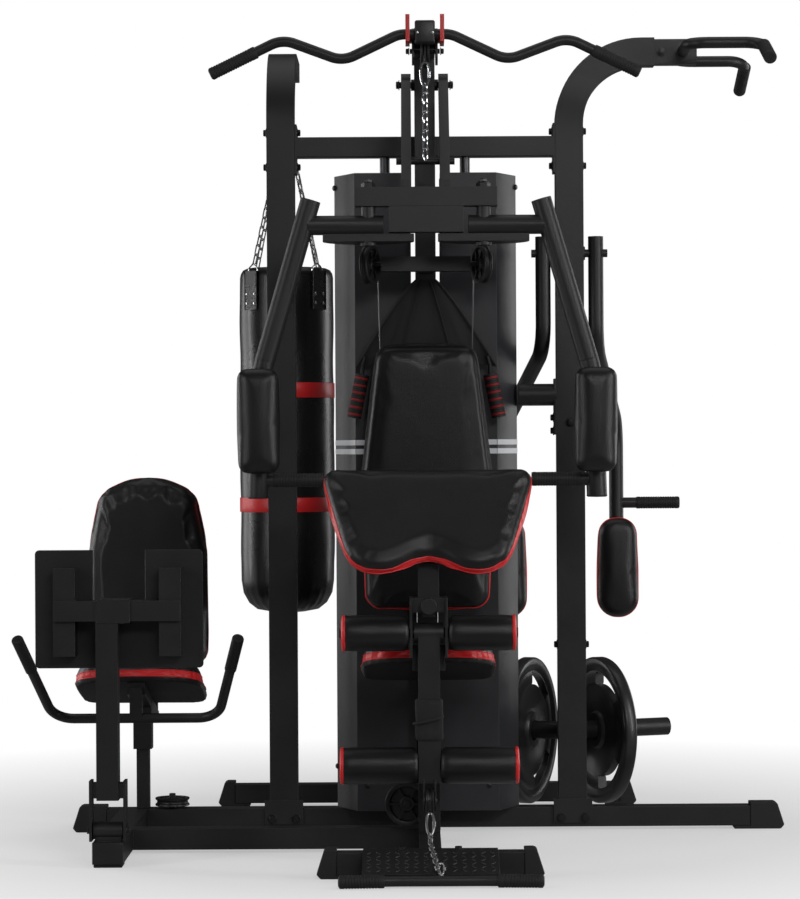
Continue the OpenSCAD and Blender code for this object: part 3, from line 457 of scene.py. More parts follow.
def pad(name, outline, t, origin, u, v, n, body, node, band=None, crown=24.0, cap=9.0, voxel=6.0,
        bead=1.4, tuck=5.0, strip=True, red_top=1e6):
    """A padded cushion on a flat board: closed, crowned, its cloth blown out against the seams.
    outline is in mm in the plane (u, v); t is the thickness along n; band gives the red strip's heights.
    crown is how far in from the edge the top curves, cap how far the cloth may swell, tuck how far the
    sides pull in at the board. Without strip only its two lines of piping are red, and nothing is red
    above red_top."""
    swell, grow, board = 4.0, 1.5, 8
    centre = sum(outline, Vector((0, 0))) / len(outline)
    wide = [q - (centre - q).normalized() * grow for q in outline]
    bm = bmesh.new()
    low = [bm.verts.new(Vector((q.x, q.y, 0)) * MM) for q in wide]
    high = [bm.verts.new(Vector((q.x, q.y, t - swell)) * MM) for q in wide]
    bm.faces.new(low[::-1])
    bm.faces.new(high)
    for i in range(len(low)):
        j = (i + 1) % len(low)
        bm.faces.new((low[i], low[j], high[j], high[i]))
    me = bpy.data.meshes.new(name)
    bm.to_mesh(me)
    bm.free()
    o = bpy.data.objects.new(name, me)
    scene.collection.objects.link(o)
    bpy.context.view_layer.objects.active = o
    rm = o.modifiers.new("remesh", "REMESH")
    rm.mode, rm.voxel_size = "VOXEL", voxel * MM
    bake(o)
    coarse = resample(wide, 14)
    for w in o.data.vertices:
        h = w.co.z / MM
        if h > board:
            d = min(1.0, max(0.0, edge_distance(Vector(w.co.xy) / MM, coarse)) / crown)
            w.co.z = (board + (h - board) * (0.42 + 0.58 * math.sqrt(max(0.0, 1 - (1 - d) ** 2)))) * MM
    rest = [w.co.copy() for w in o.data.vertices]
    pin = o.vertex_groups.new(name="board")
    pin.add([w.index for w in o.data.vertices if w.co.z < 7 * MM], 1.0, "REPLACE")
    c = o.modifiers.new("cloth", "CLOTH")
    c.settings.effector_weights.gravity = 0
    c.settings.use_pressure = True
    c.settings.uniform_pressure_force = 4
    c.settings.vertex_group_mass = "board"
    c.settings.tension_stiffness = c.settings.compression_stiffness = 12
    c.point_cache.frame_start, c.point_cache.frame_end = 1, 20
    for f in range(1, 21):
        scene.frame_set(f)
    bake(o)
    scene.frame_set(1)
    for w, r in zip(o.data.vertices, rest):
        move = w.co - r
        if move.length > cap * MM:
            w.co = r + move.normalized() * cap * MM
        w.co.z = max(0.0, min(w.co.z, (t + 3) * MM))
    sub = o.modifiers.new("sub", "SUBSURF")
    sub.levels = sub.render_levels = 1
    bake(o)
    bm = bmesh.new()
    bm.from_mesh(o.data)
    bpy.data.objects.remove(o)
    for _ in range(3):
        bmesh.ops.smooth_vert(bm, verts=bm.verts, factor=0.5, use_axis_x=True, use_axis_y=True,
                              use_axis_z=True)
    low_z = min(w.co.z for w in bm.verts)
    for w in bm.verts:
        w.co.z = max(w.co.z - low_z, 0.0)
        under = 1 - min(1.0, w.co.z / (18 * MM))
        rim = min(1.0, (w.co.xy / MM - centre).length / 90)
        w.co.xy -= (w.co.xy - centre * MM).normalized() * (tuck * under * rim * MM)
    beads = []
    for h in band or ():
        cut = bmesh.ops.bisect_plane(bm, geom=bm.verts[:] + bm.edges[:] + bm.faces[:],
                                     plane_co=(0, 0, h * MM), plane_no=(0, 0, 1))["geom_cut"]
        ring = [g.co.copy() / MM for g in cut if isinstance(g, bmesh.types.BMVert)]
        ring.sort(key=lambda q: math.atan2(q.x - centre.x, centre.y - q.y))
        beads.append(resample(ring, 7))
    bm.normal_update()
    for f in bm.faces:
        q = f.calc_center_median() / MM
        if strip and band and min(band) < q.z < max(band):
            f.material_index = 1
        # Downward faces of the board take the darker board colour: painted shade under the pad.
        elif q.z < 3 and f.normal.z < -0.7:
            f.material_index = 2
    for ring in beads:
        sweep(bm, ring, bead, 8, closed=True, mat=1)
    for f in bm.faces:
        if f.material_index == 1 and f.calc_center_median().y > red_top * MM:
            f.material_index = 0
    place = Matrix((Vector(u), Vector(v), Vector(n))).transposed().to_4x4()
    place.translation = metres(*origin)
    bm.transform(place)
    return piece(name, bm, [LEATHER, RED, BOARD_PAINTED_SHADE], body, [node])


def bake(o):
    """Applies every modifier on o."""
    dg = bpy.context.evaluated_depsgraph_get()
    me = bpy.data.meshes.new_from_object(o.evaluated_get(dg))
    o.modifiers.clear()
    o.data = me


UP = dict(u=(1, 0, 0), v=(0, 0, 1), n=(0, -1, 0))    # an upright pad that faces the user


def tilted(deg):
    """The axes of a pad whose face is tipped deg degrees up from level."""
    c, s = math.cos(math.radians(deg)), math.sin(math.radians(deg))
    return dict(u=(1, 0, 0), v=(0, c, s), n=(0, -s, c))


pad("back_cushion", circle_hull([(-112, 603, 42), (112, 603, 42), (-119, 880, 42), (119, 880, 42),
                                 (-86, 1163, 42), (86, 1163, 42)]), 56, (0, -165.2, 0),
    body=FRAME, node="back_pad", band=(10, 22), crown=17, cap=5, tuck=1.5, bead=1.6,
    strip=False, red_top=760, **UP)
pad("seat_cushion", circle_hull([(-102, -55, 55), (102, -55, 55), (-67, -227, 90), (67, -227, 90)]), 60,
    (0, -220, 389.2), body=FRAME, node="seat_pad", band=(12, 28), **tilted(-12))
lobes = [Vector(q) for q in (
    (0, -104), (28, -110), (58, -130), (95, -143), (130, -142), (165, -128), (186, -104), (203, -50),
    (224, 20), (240, 85), (244, 112), (236, 132), (214, 143), (120, 142), (0, 138))]
lobes += [Vector((-q.x, q.y)) for q in lobes[-2:0:-1]]
for _ in range(2):
    lobes = [q for a, b in zip(lobes, lobes[1:] + lobes[:1]) for q in (a.lerp(b, 0.25), a.lerp(b, 0.75))]
curl_axes = tilted(54)
curl_under = Vector((0, -625, 790)) - Vector(curl_axes["n"]) * 25
pad("curl_cushion", resample(lobes, 5), 50, curl_under, body="curl_pad", node="preacher_pad",
    band=(11, 26), crown=20, cap=6, red_top=118, **curl_axes)
for s, body, node in ((-1, "fly_left", "fly_pad_left"), (1, "fly_right", "fly_pad_right")):
    corners = [(-24, 921, 24), (24, 921, 24), (s * -22, 1116, 24), (s * 26, 1116, 24)]
    pad(node + "_cushion", circle_hull(corners), 54, (s * 395, GRIP_Y - 24.2, 0), body=body, node=node,
        crown=42, cap=6, voxel=5, **UP)
pad("leg_press_seat_cushion", circle_hull([(-67, 90, 90), (67, 90, 90), (-107, 260, 50), (107, 260, 50)]),
    60, (LEG_PRESS_X, -200, 390.2), body="leg_press_seat", node="leg_press_pads", band=(12, 28),
    **tilted(-15))
pad("leg_press_back_cushion", circle_hull([(-103, 447, 52), (103, 447, 52), (-102, 690, 52), (102, 690, 52),
                                           (-62, 795, 72), (62, 795, 72), (-24, 784, 97), (24, 784, 97)]),
    56, (LEG_PRESS_X, 177.8, 0), body="leg_press_seat", node="leg_press_pads", band=(5, 8), **UP)
for s, side in ((-1, "left"), (1, "right")):
    corners = [(-3, 555, 51), (3, 555, 51), (-6, 721, 44), (6, 721, 44)]
    pad("dip_cushion_" + side, circle_hull(corners), 56, (SIDE_X + s * DIP_REACH, 480.8, 0),
        body="dip_arms", node="dip_pads", band=(12, 30), crown=30, cap=6, voxel=5, **UP)


def roller_cushion(name, x0, x1, z, r, body, node):
    """A foam roller in a stitched cover, with a soft shoulder, creases and a red disc at its outer end."""
    s = 1 if x1 > 0 else -1
    length = abs(x1 - x0)
    bm = bmesh.new()

    def crease(rr, h, t):
        """Folds that deepen towards both ends; the bore is left alone."""
        end = max(0.0, 1 - min(h, length - h) / 26)
        fold = noise.noise(Vector((math.cos(t) * 3.2, math.sin(t) * 3.2, h * 0.018 + x0)))
        return rr + (-1.2 + 1.6 * fold * (0.35 + end)) * (rr > 16), h

    shoulder = [(12.3, 0.6), (r * 0.55, 0.0), (r * 0.86, 0.8), (r - 3.0, 4), (r - 0.8, 10)]
    prof = list(shoulder)
    for k in range(1, 14):
        prof.append((r - 0.4 + 0.4 * math.sin(math.pi * k / 14), 10 + (length - 20) * k / 14))
    prof += [(radius, length - h) for radius, h in shoulder[::-1]]
    lathe(bm, (x0, ROLLER_Y, z), (s, 0, 0), prof, 56, 0, crease)
    cap = [(12.4, 0), (r - 3.0, 0), (r - 0.6, 2.5), (r - 0.6, 6.0), (r - 4, 8.8), (r - 12, 10), (12.4, 10)]
    lathe(bm, (x0 + s * (length - 9), ROLLER_Y, z), (s, 0, 0), cap, 48, 1)
    return piece(name, bm, [LEATHER, RED], body, [node])


for s, side in ((-1, "left"), (1, "right")):
    roller_cushion("knee_roller_" + side, s * 46, s * 200, 529, 42.5, "knee_rollers", "knee_rollers")
    roller_cushion("ankle_roller_" + side, s * 26, s * 205, 225, 43.5, "ankle_rollers", "ankle_rollers")


def heavy_bag():
    """The bag with its two red bands, its four strap tabs with rings, and its chains."""
    c, z0, h = (-SIDE_X, 300), 529.0, 894.0
    eye_z = 1800
    tab_turns = [math.radians(45 + 90 * k) for k in range(4)]
    bm = bmesh.new()

    def sag(rr, hh, t):
        """Slight dents all over, pleats round the foot and a pull at the four tabs."""
        q = Vector((math.cos(t) * 1.6, math.sin(t) * 1.6, hh * 0.006))
        low = max(0.0, 1 - hh / 95) * (rr > 30)
        pleat = 2.4 * math.sin(t * 26) * low
        top = max(0.0, (hh - h + 60) / 60) * (rr > 30)
        return rr + noise.noise(q) * 1.6 * (rr > 30) + pleat * 0.8 - top * 1.5 * abs(math.sin(t * 4)), hh

    prof = [(0, 6), (40, 2), (78, 9), (100, 26), (115, 52), (120.5, 84), (121.2, 130)]
    prof += [(121.6 + 0.9 * math.sin(k * 0.9), 130 + (h - 190) * k / 26) for k in range(1, 26)]
    prof += [(121, h - 60), (120.8, h - 26), (118.6, h - 15), (113, h - 6), (104, h - 1.5), (88, h - 1),
             (0, h - 3)]
    lathe(bm, (*c, z0), (0, 0, 1), prof, 104, 0, sag)
    for z, t in ((791, 37), (1085, 39)):
        strip = [(119.5, 0), (123.0, 0), (123.9, 1.5), (123.9, t - 1.5), (123.0, t), (119.5, t)]
        lathe(bm, (*c, z), (0, 0, 1), strip, 104, 1)
    piece("heavy_bag", bm, [GLOSS, RED], "punching_bag", ["punching_bag"])
    bm = bmesh.new()
    for t in tab_turns:
        turn = Matrix.Rotation(t - math.pi / 2, 3, "Z")
        slab(bm, (c[0] - 22, c[1] + 120, 1313), (c[0] + 22, c[1] + 125.5, 1410), 1.4, turn, (*c, 0))
        for x in (-14, 14):
            for z in (1328, 1352):
                q = turn @ Vector((x, 125.4, 0)) + Vector((*c, z))
                stud = [(0, -1), (4, -1), (4, 0), (2.6, 1.4), (0, 1.8)]
                lathe(bm, q, turn @ Vector((0, 1, 0)), stud, 16, 1)
        ring = [turn @ Vector((x, 116, 0)) + Vector((*c, z)) for x, z in
                ((-18, 1402), (18, 1402), (16, 1420), (0, 1431), (-16, 1420))]
        sweep(bm, resample(ring, 4), 2.2, 8, closed=True, mat=1)
    piece("bag_tabs", bm, [GLOSS, CHROME], "punching_bag")
    bm = bmesh.new()
    for t in tab_turns:
        top = Vector((c[0] + 6 * math.cos(t), c[1] + 6 * math.sin(t), eye_z - 8))
        foot = Vector((c[0] + 112 * math.cos(t), c[1] + 112 * math.sin(t), 1430))
        links(bm, [top, foot], 26, 15, 2.0)
    eye_ring = [Vector((c[0] + 13 * math.cos(q), c[1], eye_z + 13 * math.sin(q))) for q in
                [2 * math.pi * k / 24 for k in range(24)]]
    sweep(bm, eye_ring, 3.0, 10, closed=True)
    swivel = [(0, 0), (9, 0), (10, 3), (10, 11), (6, 14), (5, 22), (0, 22)]
    lathe(bm, (*c, eye_z + 12), (0, 0, 1), swivel, 24)
    piece("bag_chain", bm, ZINC, "punching_bag", ["bag_chains"])


heavy_bag()


# ------------------------------------------------------ rigid parts, rounded

for part in ("main_base_tube", "rear_base_tube", "centre_rail", "front_base_tube", "front_upright",
             "top_boom", "rear_upright", "left_upright", "right_upright", "upper_cross_beam", "seat_frame",
             "side_pulley_bracket", "plate_holder", "leg_press_base", "side_brace", "press_frame",
             "fly_arm_left", "fly_arm_right", "leg_lever", "leg_press_lever", "leg_press_seat_frame",
             "preacher_post", "dip_arms", "foot_plate", "pull_up_handle"):
    soften(part, POWDER)
for part in ("shroud_left", "shroud_right", "rear_shroud"):
    soften(part, COVER, 0.9)
for part in ("resting_plates", "lifted_plates"):
    soften(part, IRON, 1.2)
soften("foot_caps", RUBBER, 2.5)
soften("guide_rods", SATIN, 1.0)
soften("bar_hooks", DIPPED, 3.2)
soften("selector_pin", DIPPED, 1.2)
soften("bag_hook", ZINC, 0.8)


def wheel(node, d, t, bore):
    """A grooved pulley: a hub, a sunk web with ribs and a rim."""
    lo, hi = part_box(node)
    c = Vector([(lo[i] + hi[i]) / 2 for i in range(3)]) / MM
    r = max(hi[i] - lo[i] for i in range(3)) / 2 / MM
    h, groove = t / 2, t * 0.28
    side = [(bore, h), (r * 0.30, h), (r * 0.34, h - 1.5), (r * 0.38, h * 0.35), (r * 0.74, h * 0.35),
            (r * 0.79, h - 1.2), (r * 0.83, h), (r - 1.2, h), (r, h - 1.2)]
    arc = [(r + 1 - groove * math.cos(q), groove * math.sin(q)) for q in
           [math.radians(70 - 20 * k) for k in range(8)]]
    bm = bmesh.new()
    lathe(bm, c, d, side + arc + [(radius, -height) for radius, height in side[::-1]], 56)
    d = Vector(d).normalized()
    a, b = frame_of(d)
    for k in range(6):
        out = a * math.cos(math.pi / 3 * k) + b * math.sin(math.pi / 3 * k)
        across = d.cross(out)
        vs = [bm.verts.new((c + out * x + across * y + d * z) * MM) for z in (1 - h, h - 1) for x, y in
              ((r * 0.32, -2.6), (r * 0.80, -1.8), (r * 0.80, 1.8), (r * 0.32, 2.6))]
        for q in ((0, 1, 2, 3), (4, 5, 6, 7), (0, 1, 5, 4), (1, 2, 6, 5), (2, 3, 7, 6), (3, 0, 4, 7)):
            bm.faces.new([vs[i] for i in q])
    piece(node + "_wheel", bm, NYLON, BODY_OF[node], [node])


wheel("top_pulley", (1, 0, 0), 22, 6.05)
wheel("low_pulley", (1, 0, 0), 18, 8.05)
wheel("side_pulley_left", (-math.cos(YAW), math.sin(YAW), 0), 20, 6.05)
wheel("side_pulley_right", (math.cos(YAW), math.sin(YAW), 0), 20, 6.05)
wheel("leg_press_pulley", (0, 0, 1), 20, 8.05)
wheel("turning_pulley", (0, 1, 0), 22, 8.05)


# --------------------------------------------------- bars, grips and chains

def lat():
    """The lat bar: a wavy tube with a grip at each end and a sleeve in the middle."""
    y, end, bend = -385, (509, 1842), (338, 1925)
    half = [(62, y, 1935), (195, y, 1872), (bend[0], y, bend[1]), (end[0], y, end[1])]
    pts = [(-x, y, z) for x, _, z in half[::-1]] + half
    bm = bmesh.new()
    sweep(bm, rounded(pts, 70, 10), 12.4, 24)
    piece("lat_bar_tube", bm, POWDER, "lat_bar", ["lat_bar"])
    bm = bmesh.new()
    for s in (-1, 1):
        grip_from(bm, (s * end[0], y, end[1]), (s * bend[0], y, bend[1]), 122, 15)
    piece("lat_bar_grips", bm, RUBBER, "lat_bar")
    bm = bmesh.new()
    slab(bm, (-24, -408, 1912), (24, -371, 1966), 5)
    for s in (-1, 1):
        lathe(bm, (s * 18, -407.5, 1936), (0, -1, 0), [(0, 0), (3.6, 0), (3.2, 1.6), (0, 2.2)], 20, 1)
    piece("lat_bar_sleeve", bm, [NYLON, ZINC], "lat_bar")


def row():
    """The low row bar on the floor, with its grips, chain and spring hooks."""
    y = -1003
    lo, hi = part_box("row_bar")
    mid = (lo[0] + hi[0]) / 2 / MM
    bm = bmesh.new()
    bar = [(mid + x, y - out, 15) for x, out in ((-222, 10), (-95, 0), (95, 0), (222, 10))]
    sweep(bm, rounded(bar, 80, 8), 11.8, 24)
    piece("row_bar_tube", bm, POWDER, "row_bar", ["row_bar"])
    bm = bmesh.new()
    for s in (-1, 1):
        grip_from(bm, (mid + s * 222, y - 10, 15), (mid + s * 95, y, 15), 100, 14.8)
    piece("row_bar_grips", bm, RUBBER, "row_bar")
    bm = bmesh.new()
    carabiner(bm, (0, -790, 138), (0, -832, 90), 22, 2.8)
    hang = ((0, -830, 94), (0, -866, 76), (14, -985, 42), (mid - 2, -1000, 28))
    links(bm, [Vector(q) for q in hang], 17, 14, 2.0)
    carabiner(bm, (mid, -972, 50), (mid, -1004, 26), 18, 2.4)
    piece("row_bar_chain", bm, ZINC, "row_bar")


def cable(bm, points):
    """A cable through points given as (y, z), in the middle plane of the machine."""
    sweep(bm, [Vector((0, *q)) for q in points], 2.4, 10)


def cable_set():
    """The cables over the boom, to the stack, to the row bar and to the arms, and the pulldown chain."""
    fixed, hung, lift = 1900, 541, 600
    top = PULLEY_Z + CABLE_SEAT
    front = PULLEY_Y - CABLE_SEAT
    turns = [math.pi / 2 * k / 14 for k in range(15)]
    arc = [(PULLEY_Y - CABLE_SEAT * math.cos(q), PULLEY_Z + CABLE_SEAT * math.sin(q)) for q in turns]
    bm = bmesh.new()
    cable(bm, [(front, 1873)] + arc + [(-44, top), (-44, fixed)])
    cable(bm, [(44, fixed), (44, top), (248, top), (248, 70)])
    piece("cable_runs", bm, CABLE, FRAME, ["cables"])
    low_end = bmesh.new()
    cable(low_end, [(-665, 150), (-786, 142)])
    piece("low_cable_end", low_end, CABLE, "row_bar")
    bm = bmesh.new()
    for y in (-44, 44):
        cable(bm, [(y, fixed), (y, hung)])
    hanging = piece("stack_cables", bm, CABLE, FRAME)
    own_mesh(hanging)
    bm = bmesh.new()
    for s in (-1, 1):
        c, seat = Vector((s * 134, -250, 1398)), 44.5
        back = Vector((-s * math.sin(YAW), math.cos(YAW), 0))
        arc = [c + (back * math.sin(q) + Vector((0, 0, math.cos(q)))) * seat for q in
               [math.pi / 24 * k for k in range(13)]]
        sweep(bm, [c - back * 62 + Vector((0, 0, seat))] + arc + [Vector((s * 112, -157, 1180))], 1.7, 8)
    piece("arm_cables", bm, ZINC, FRAME)
    bm = bmesh.new()
    carabiner(bm, (0, front, 1874), (0, front, 1812), 27, 3.2)
    links(bm, [Vector((0, front, 1818)), Vector((0, front, 1640))], 22, 18, 2.5)
    piece("pulldown_chain", bm, CHROME, FRAME)


lat()
row()
cable_set()



def hand_grips():
    """The grips and end plugs of the butterfly arms, leg press, dip arms and pull-up handle."""
    for s, side in ((-1, "left"), (1, "right")):
        bm = bmesh.new()
        grip(bm, (s * 246, GRIP_Y, 879), (s * 366, GRIP_Y, 879), 16.6)
        plug = [(0, -2), (24.4, -2), (24.4, 1), (21, 3), (0, 3.6)]
        lathe(bm, (s * 400, GRIP_Y, 839), (0, 0, -1), plug, 40)
        piece("fly_grip_" + side, bm, RUBBER, "fly_" + side)
    bm = bmesh.new()
    for s in (-1, 1):
        grip_from(bm, (LEG_PRESS_X + s * 262, -400, 506), (LEG_PRESS_X + s * 200, -190, 299), 118, 14.4)
    piece("leg_press_grips", bm, RUBBER, "leg_press_seat")
    bm = bmesh.new()
    for s in (-1, 1):
        x = SIDE_X + s * DIP_REACH
        grip(bm, (x + s * 168, 500, 805), (x + s * 52, 500, 805), 16)
        lathe(bm, (x, 500, 560), (0, 0, -1), [(0, -2), (19.3, -2), (19.3, 1), (17, 3), (0, 3.4)], 32)
    piece("dip_grips", bm, RUBBER, "dip_arms")
    bm = bmesh.new()
    for s in (-1, 1):
        grip_from(bm, (825, s * 340, 1881), (825, s * 180, 1939), 140, 16)
    piece("pull_up_grips", bm, RUBBER, FRAME)


hand_grips()


# ----------------------------------------------------------- weight plates

def disc(name, s, along_peg):
    """A three-grip plate: thick rim and hub, a sunk web, slots between the spokes.
    s is -1 for the left peg and 1 for the right one. The plate hangs on its peg by its bore."""
    peg_z, peg_r, bore, play = 222, 23, 25.3, 0.1
    ax = Vector((s * math.cos(YAW), math.sin(YAW), 0))
    c = Vector((SIDE_X + s * 20, 258, peg_z - (bore - peg_r - play))) + ax * along_peg
    a, b = frame_of(ax)
    rings = [(bore, 15), (27, 17), (44, 17), (47, 14), (50, 9), (116, 9), (119, 10.5), (124, 12),
             (146, 12), (151, 10.5), (154, 10), (160, 13), (166, 16.4), (172, 17.4), (183, 17.2),
             (187, 15), (189, 11)]
    count, last = 144, len(rings) - 1
    bm = bmesh.new()
    grid = {}
    for j, (r, h) in enumerate(rings):
        for k in range(count):
            t = 2 * math.pi * k / count
            spoke = (a * math.cos(t) + b * math.sin(t)) * r
            for side in (-1, 1):
                grid[j, k, side] = bm.verts.new((c + ax * h * side + spoke) * MM)

    def hole(j, k):
        """True where a grip slot is cut: the same stretch of each third of a turn."""
        return 6 <= j <= 8 and (k % 48) in range(12, 34)

    def quad(*corners):
        bm.faces.new([grid[q] for q in corners])

    def wall(p, q):
        """Closes the plate's thickness between two places (ring, turn) on its faces."""
        quad((*p, -1), (*q, -1), (*q, 1), (*p, 1))

    for j in range(last):
        for k in range(count):
            after = (k + 1) % count
            if hole(j, k):
                continue
            for side in (-1, 1):
                quad((j, k, side), (j + 1, k, side), (j + 1, after, side), (j, after, side))
            if j == 0 or hole(j - 1, k):
                wall((j, k), (j, after))
            if j == last - 1 or hole(j + 1, k):
                wall((j + 1, k), (j + 1, after))
            if hole(j, (k - 1) % count):
                wall((j, k), (j + 1, k))
            if hole(j, after):
                wall((j, after), (j + 1, after))
    for v in [v for v in bm.verts if not v.link_faces]:
        bm.verts.remove(v)
    piece(name + "_disc", bm, DISC, name, [name])


disc("weight_plate_left", -1, 84)
disc("weight_plate_right", 1, 73)


# --------------------------------------------------------------- harness

def harness():
    """A mesh sling over the back cushion, with padded hand loops."""
    bm = bmesh.new()
    nu, nv = 26, 22
    top_z, drop, front, thick = 1366, 214, -146, 4
    sheet = {}
    for side in (0, 1):
        for j in range(nv + 1):
            g = j / nv
            z = top_z - g * drop
            half = 22 + 150 * g ** 0.85
            for i in range(nu + 1):
                f = 2 * i / nu - 1
                sag = 20 * (1 - f * f) * g * g
                ripple = 4.5 * math.sin(f * 8 + g * 1.5) * g ** 0.5
                ripple += 3 * noise.noise(Vector((f * 2, g * 3, 1)))
                y = front + ripple + 2.2 * abs(f) + side * thick
                sheet[side, i, j] = bm.verts.new(metres(f * half, y, z + sag))

    def quad(*corners):
        bm.faces.new([sheet[q] for q in corners])

    for j in range(nv):
        for i in range(nu):
            for side in (0, 1):
                quad((side, i, j), (side, i + 1, j), (side, i + 1, j + 1), (side, i, j + 1))
    for j in range(nv):
        for i in (0, nu):
            quad((0, i, j), (0, i, j + 1), (1, i, j + 1), (1, i, j))
    for i in range(nu):
        for j in (0, nv):
            quad((0, i, j), (0, i + 1, j), (1, i + 1, j), (1, i, j))
    for s in (-1, 1):
        for share, r in ((1.0, 3.2), (0.42, 1.8)):
            i = round((1 + s * share) * nu / 2)
            sweep(bm, [sheet[0, i, j].co / MM - Vector((0, 0.8, 0)) for j in range(nv + 1)], r, 8)
    piece("harness_mesh", bm, FABRIC, FRAME, ["ab_harness"])
    bm = bmesh.new()
    ring = [(0, 0), (16.6, 0), (17.6, 1.4), (17.6, 4.6), (16.6, 6), (0, 6)]
    for s in (-1, 1):
        low, high = Vector((s * 178, -140, 1028)), Vector((s * 156, -140, 1138))
        d = (high - low).normalized()
        for k in range(18):
            lathe(bm, low + d * 6 * k, d, ring, 32, 1 if k % 3 == 1 else 0)
        sweep(bm, [high - d * 4, Vector((s * 156, -142, 1158)), Vector((s * 150, -144, 1178))], 5.0, 12)
    piece("harness_grips", bm, [RUBBER, DULL_RED], FRAME)


harness()


# -------------------------------------------------------------- small parts

def bolts():
    """Bolt heads on the frame, on the pivots and covers, and on the butterfly arms."""
    bm = bmesh.new()
    for s in (-1, 1):
        for x in (-30, 30):
            hexbolt(bm, (s * SIDE_X + x, -31, 31), (0, -1, 0))
        for z in (1657, 1743):
            hexbolt(bm, (s * 395, 0, z), (s, 0, 0))
        hexbolt(bm, (s * 62, -852, 62), (0, 0, 1))
        hexbolt(bm, (SIDE_X + s * 35, 0, 461), (s, 0, 0))
    hexbolt(bm, (0, -115, 1340), (0, -1, 0))
    hexbolt(bm, (SIDE_X, -25, 1015), (0, -1, 0))
    for z in (995, 1028):
        hexbolt(bm, (319, 0, z), (-1, 0, 0))
    hexbolt(bm, (592, -25, 1939), (0, -1, 0))
    piece("frame_bolt_set", bm, BLACK_BOLT, FRAME, ["frame_bolts"])
    bm = bmesh.new()
    for s in (-1, 1):
        hexbolt(bm, (s * 62, -90, 1850), (s, 0, 0), 10, 12.5)
        for z in (1657, 1743):
            hexbolt(bm, (s * 319, 0, z), (-s, 0, 0))
        for z in (1604, 160):
            lathe(bm, (s * 226, -4, z), (s, -0.5, 0), [(0, -1), (7, -1), (7, 1.6), (5, 4), (0, 4.6)], 24)
        hexbolt(bm, (s * 37, PULLEY_Y, PULLEY_Z), (s, 0, 0), 7, 9)
        for z in (1600, 120):
            lathe(bm, (s * 150, -100, z), (0, -1, 0), [(0, 0), (6.5, 0), (6, 1.8), (3.5, 3), (0, 3.3)], 24)
    piece("pivot_bolts", bm, BLACK_BOLT, FRAME)
    bm = bmesh.new()
    for s in (-1, 1):
        hexbolt(bm, (s * 136, GRIP_Y, 1580), (0, 0, 1), 10, 13)
    piece("fly_pivot_nuts", bm, BLACK_BOLT, "press_frame")


def stripes():
    """Two plain bands round the front of the covers and their slanted corners."""
    bm = bmesh.new()
    for z0, z1 in ((939, 952), (961, 974)):
        for s in (-1, 1):
            slab(bm, (min(s * 40, s * 174), -100.7, z0), (max(s * 40, s * 174), -99.6, z1), 0)
            near, far = Vector((s * 175.2, -100.3, 0)), Vector((s * 227.2, -0.8, 0))
            d = (far - near).normalized()
            out = Vector((d.y * s, -d.x * s, 0)) * 0.6
            vs = [bm.verts.new((q + lift + Vector((0, 0, z))) * MM)
                  for z in (z0, z1) for lift in (out, -out) for q in (near, far)]
            for f in ((0, 1, 5, 4), (2, 3, 7, 6), (0, 1, 3, 2), (4, 5, 7, 6), (0, 2, 6, 4), (1, 3, 7, 5)):
                bm.faces.new([vs[i] for i in f])
    piece("cover_stripes", bm, STRIPE, FRAME)


def tread():
    """The sloping foot rest with its raised diamond studs."""
    soften("tread_plate", POWDER, 0.8)
    top, foot = Vector((0, -867, 62)), Vector((0, -988, 27))
    d = (foot - top).normalized()
    up = Vector((0, d.z, -d.y))
    outline = ((8.5, 0), (4, 2.3), (-4, 2.3), (-8.5, 0), (-4, -2.3), (4, -2.3))
    bm = bmesh.new()
    for i in range(14):
        for j in range(6):
            q = Vector((-136 + i * 21, 0, 0)) + top + d * (12 + j * 19)
            t = math.radians(45 if (i + j) % 2 else -45)
            along = Vector((math.cos(t), 0, 0)) + d * math.sin(t)
            across = Vector((-math.sin(t), 0, 0)) + d * math.cos(t)
            ring = [q + along * x + across * y for x, y in outline]
            base = [bm.verts.new((v - up * 0.3) * MM) for v in ring]
            crest = [bm.verts.new((q + (v - q) * 0.6 + up * 1.5) * MM) for v in ring]
            bm.faces.new(base[::-1])
            bm.faces.new(crest)
            for k in range(6):
                bm.faces.new((base[k], base[(k + 1) % 6], crest[(k + 1) % 6], crest[k]))
    piece("tread_studs", bm, POWDER, FRAME)


def ankle_strap():
    """A cloth strap wrapped round the square leg lever, with a cord across its front."""
    bm = bmesh.new()

    def fold(rr, h, t):
        """Turns the round profile square, by its height over the tube, and creases it."""
        tube = ((abs(math.cos(t)) / 23.3) ** 7 + (abs(math.sin(t)) / 25.3) ** 7) ** (-1 / 7)
        crease = 1.8 * noise.noise(Vector((math.cos(t) * 2, math.sin(t) * 2, h * 0.05)))
        return rr + tube + crease * (rr > 1), h

    wrap = [(0.2, 0), (4, 0), (6.5, 4), (7, 20), (6, 46), (7, 72), (6.5, 88), (4, 92), (0.2, 92)]
    lathe(bm, (0, ROLLER_Y, 285), (0, 0, 1), wrap, 64, 0, fold)
    turns = [math.pi * k / 14 for k in range(15)]
    cord = [Vector((-2 + 33 * math.cos(q), -624 - 31 * abs(math.sin(q)) ** 0.5, 330 + 8 * math.cos(q)))
            for q in turns]
    sweep(bm, cord, 3.4, 8)
    piece("ankle_strap", bm, FABRIC, "leg_lever")


def plugs():
    """Plastic plugs in the open tube ends."""
    bm = bmesh.new()
    slab(bm, (-25.2, 324.5, 1912.8), (25.2, 328.5, 1963.2), 1.6)
    slab(bm, (-395.2, 354.5, 1911.8), (-324.8, 358.5, 1962.2), 1.6)
    slab(bm, (-735 - 35.2, -669, 7.8), (-735 + 35.2, -664.6, 58.2), 1.6)
    piece("tube_plugs", bm, NYLON, FRAME)


bolts()
stripes()
tread()
ankle_strap()
plugs()


# ---------------------------------------------------------- camera and light

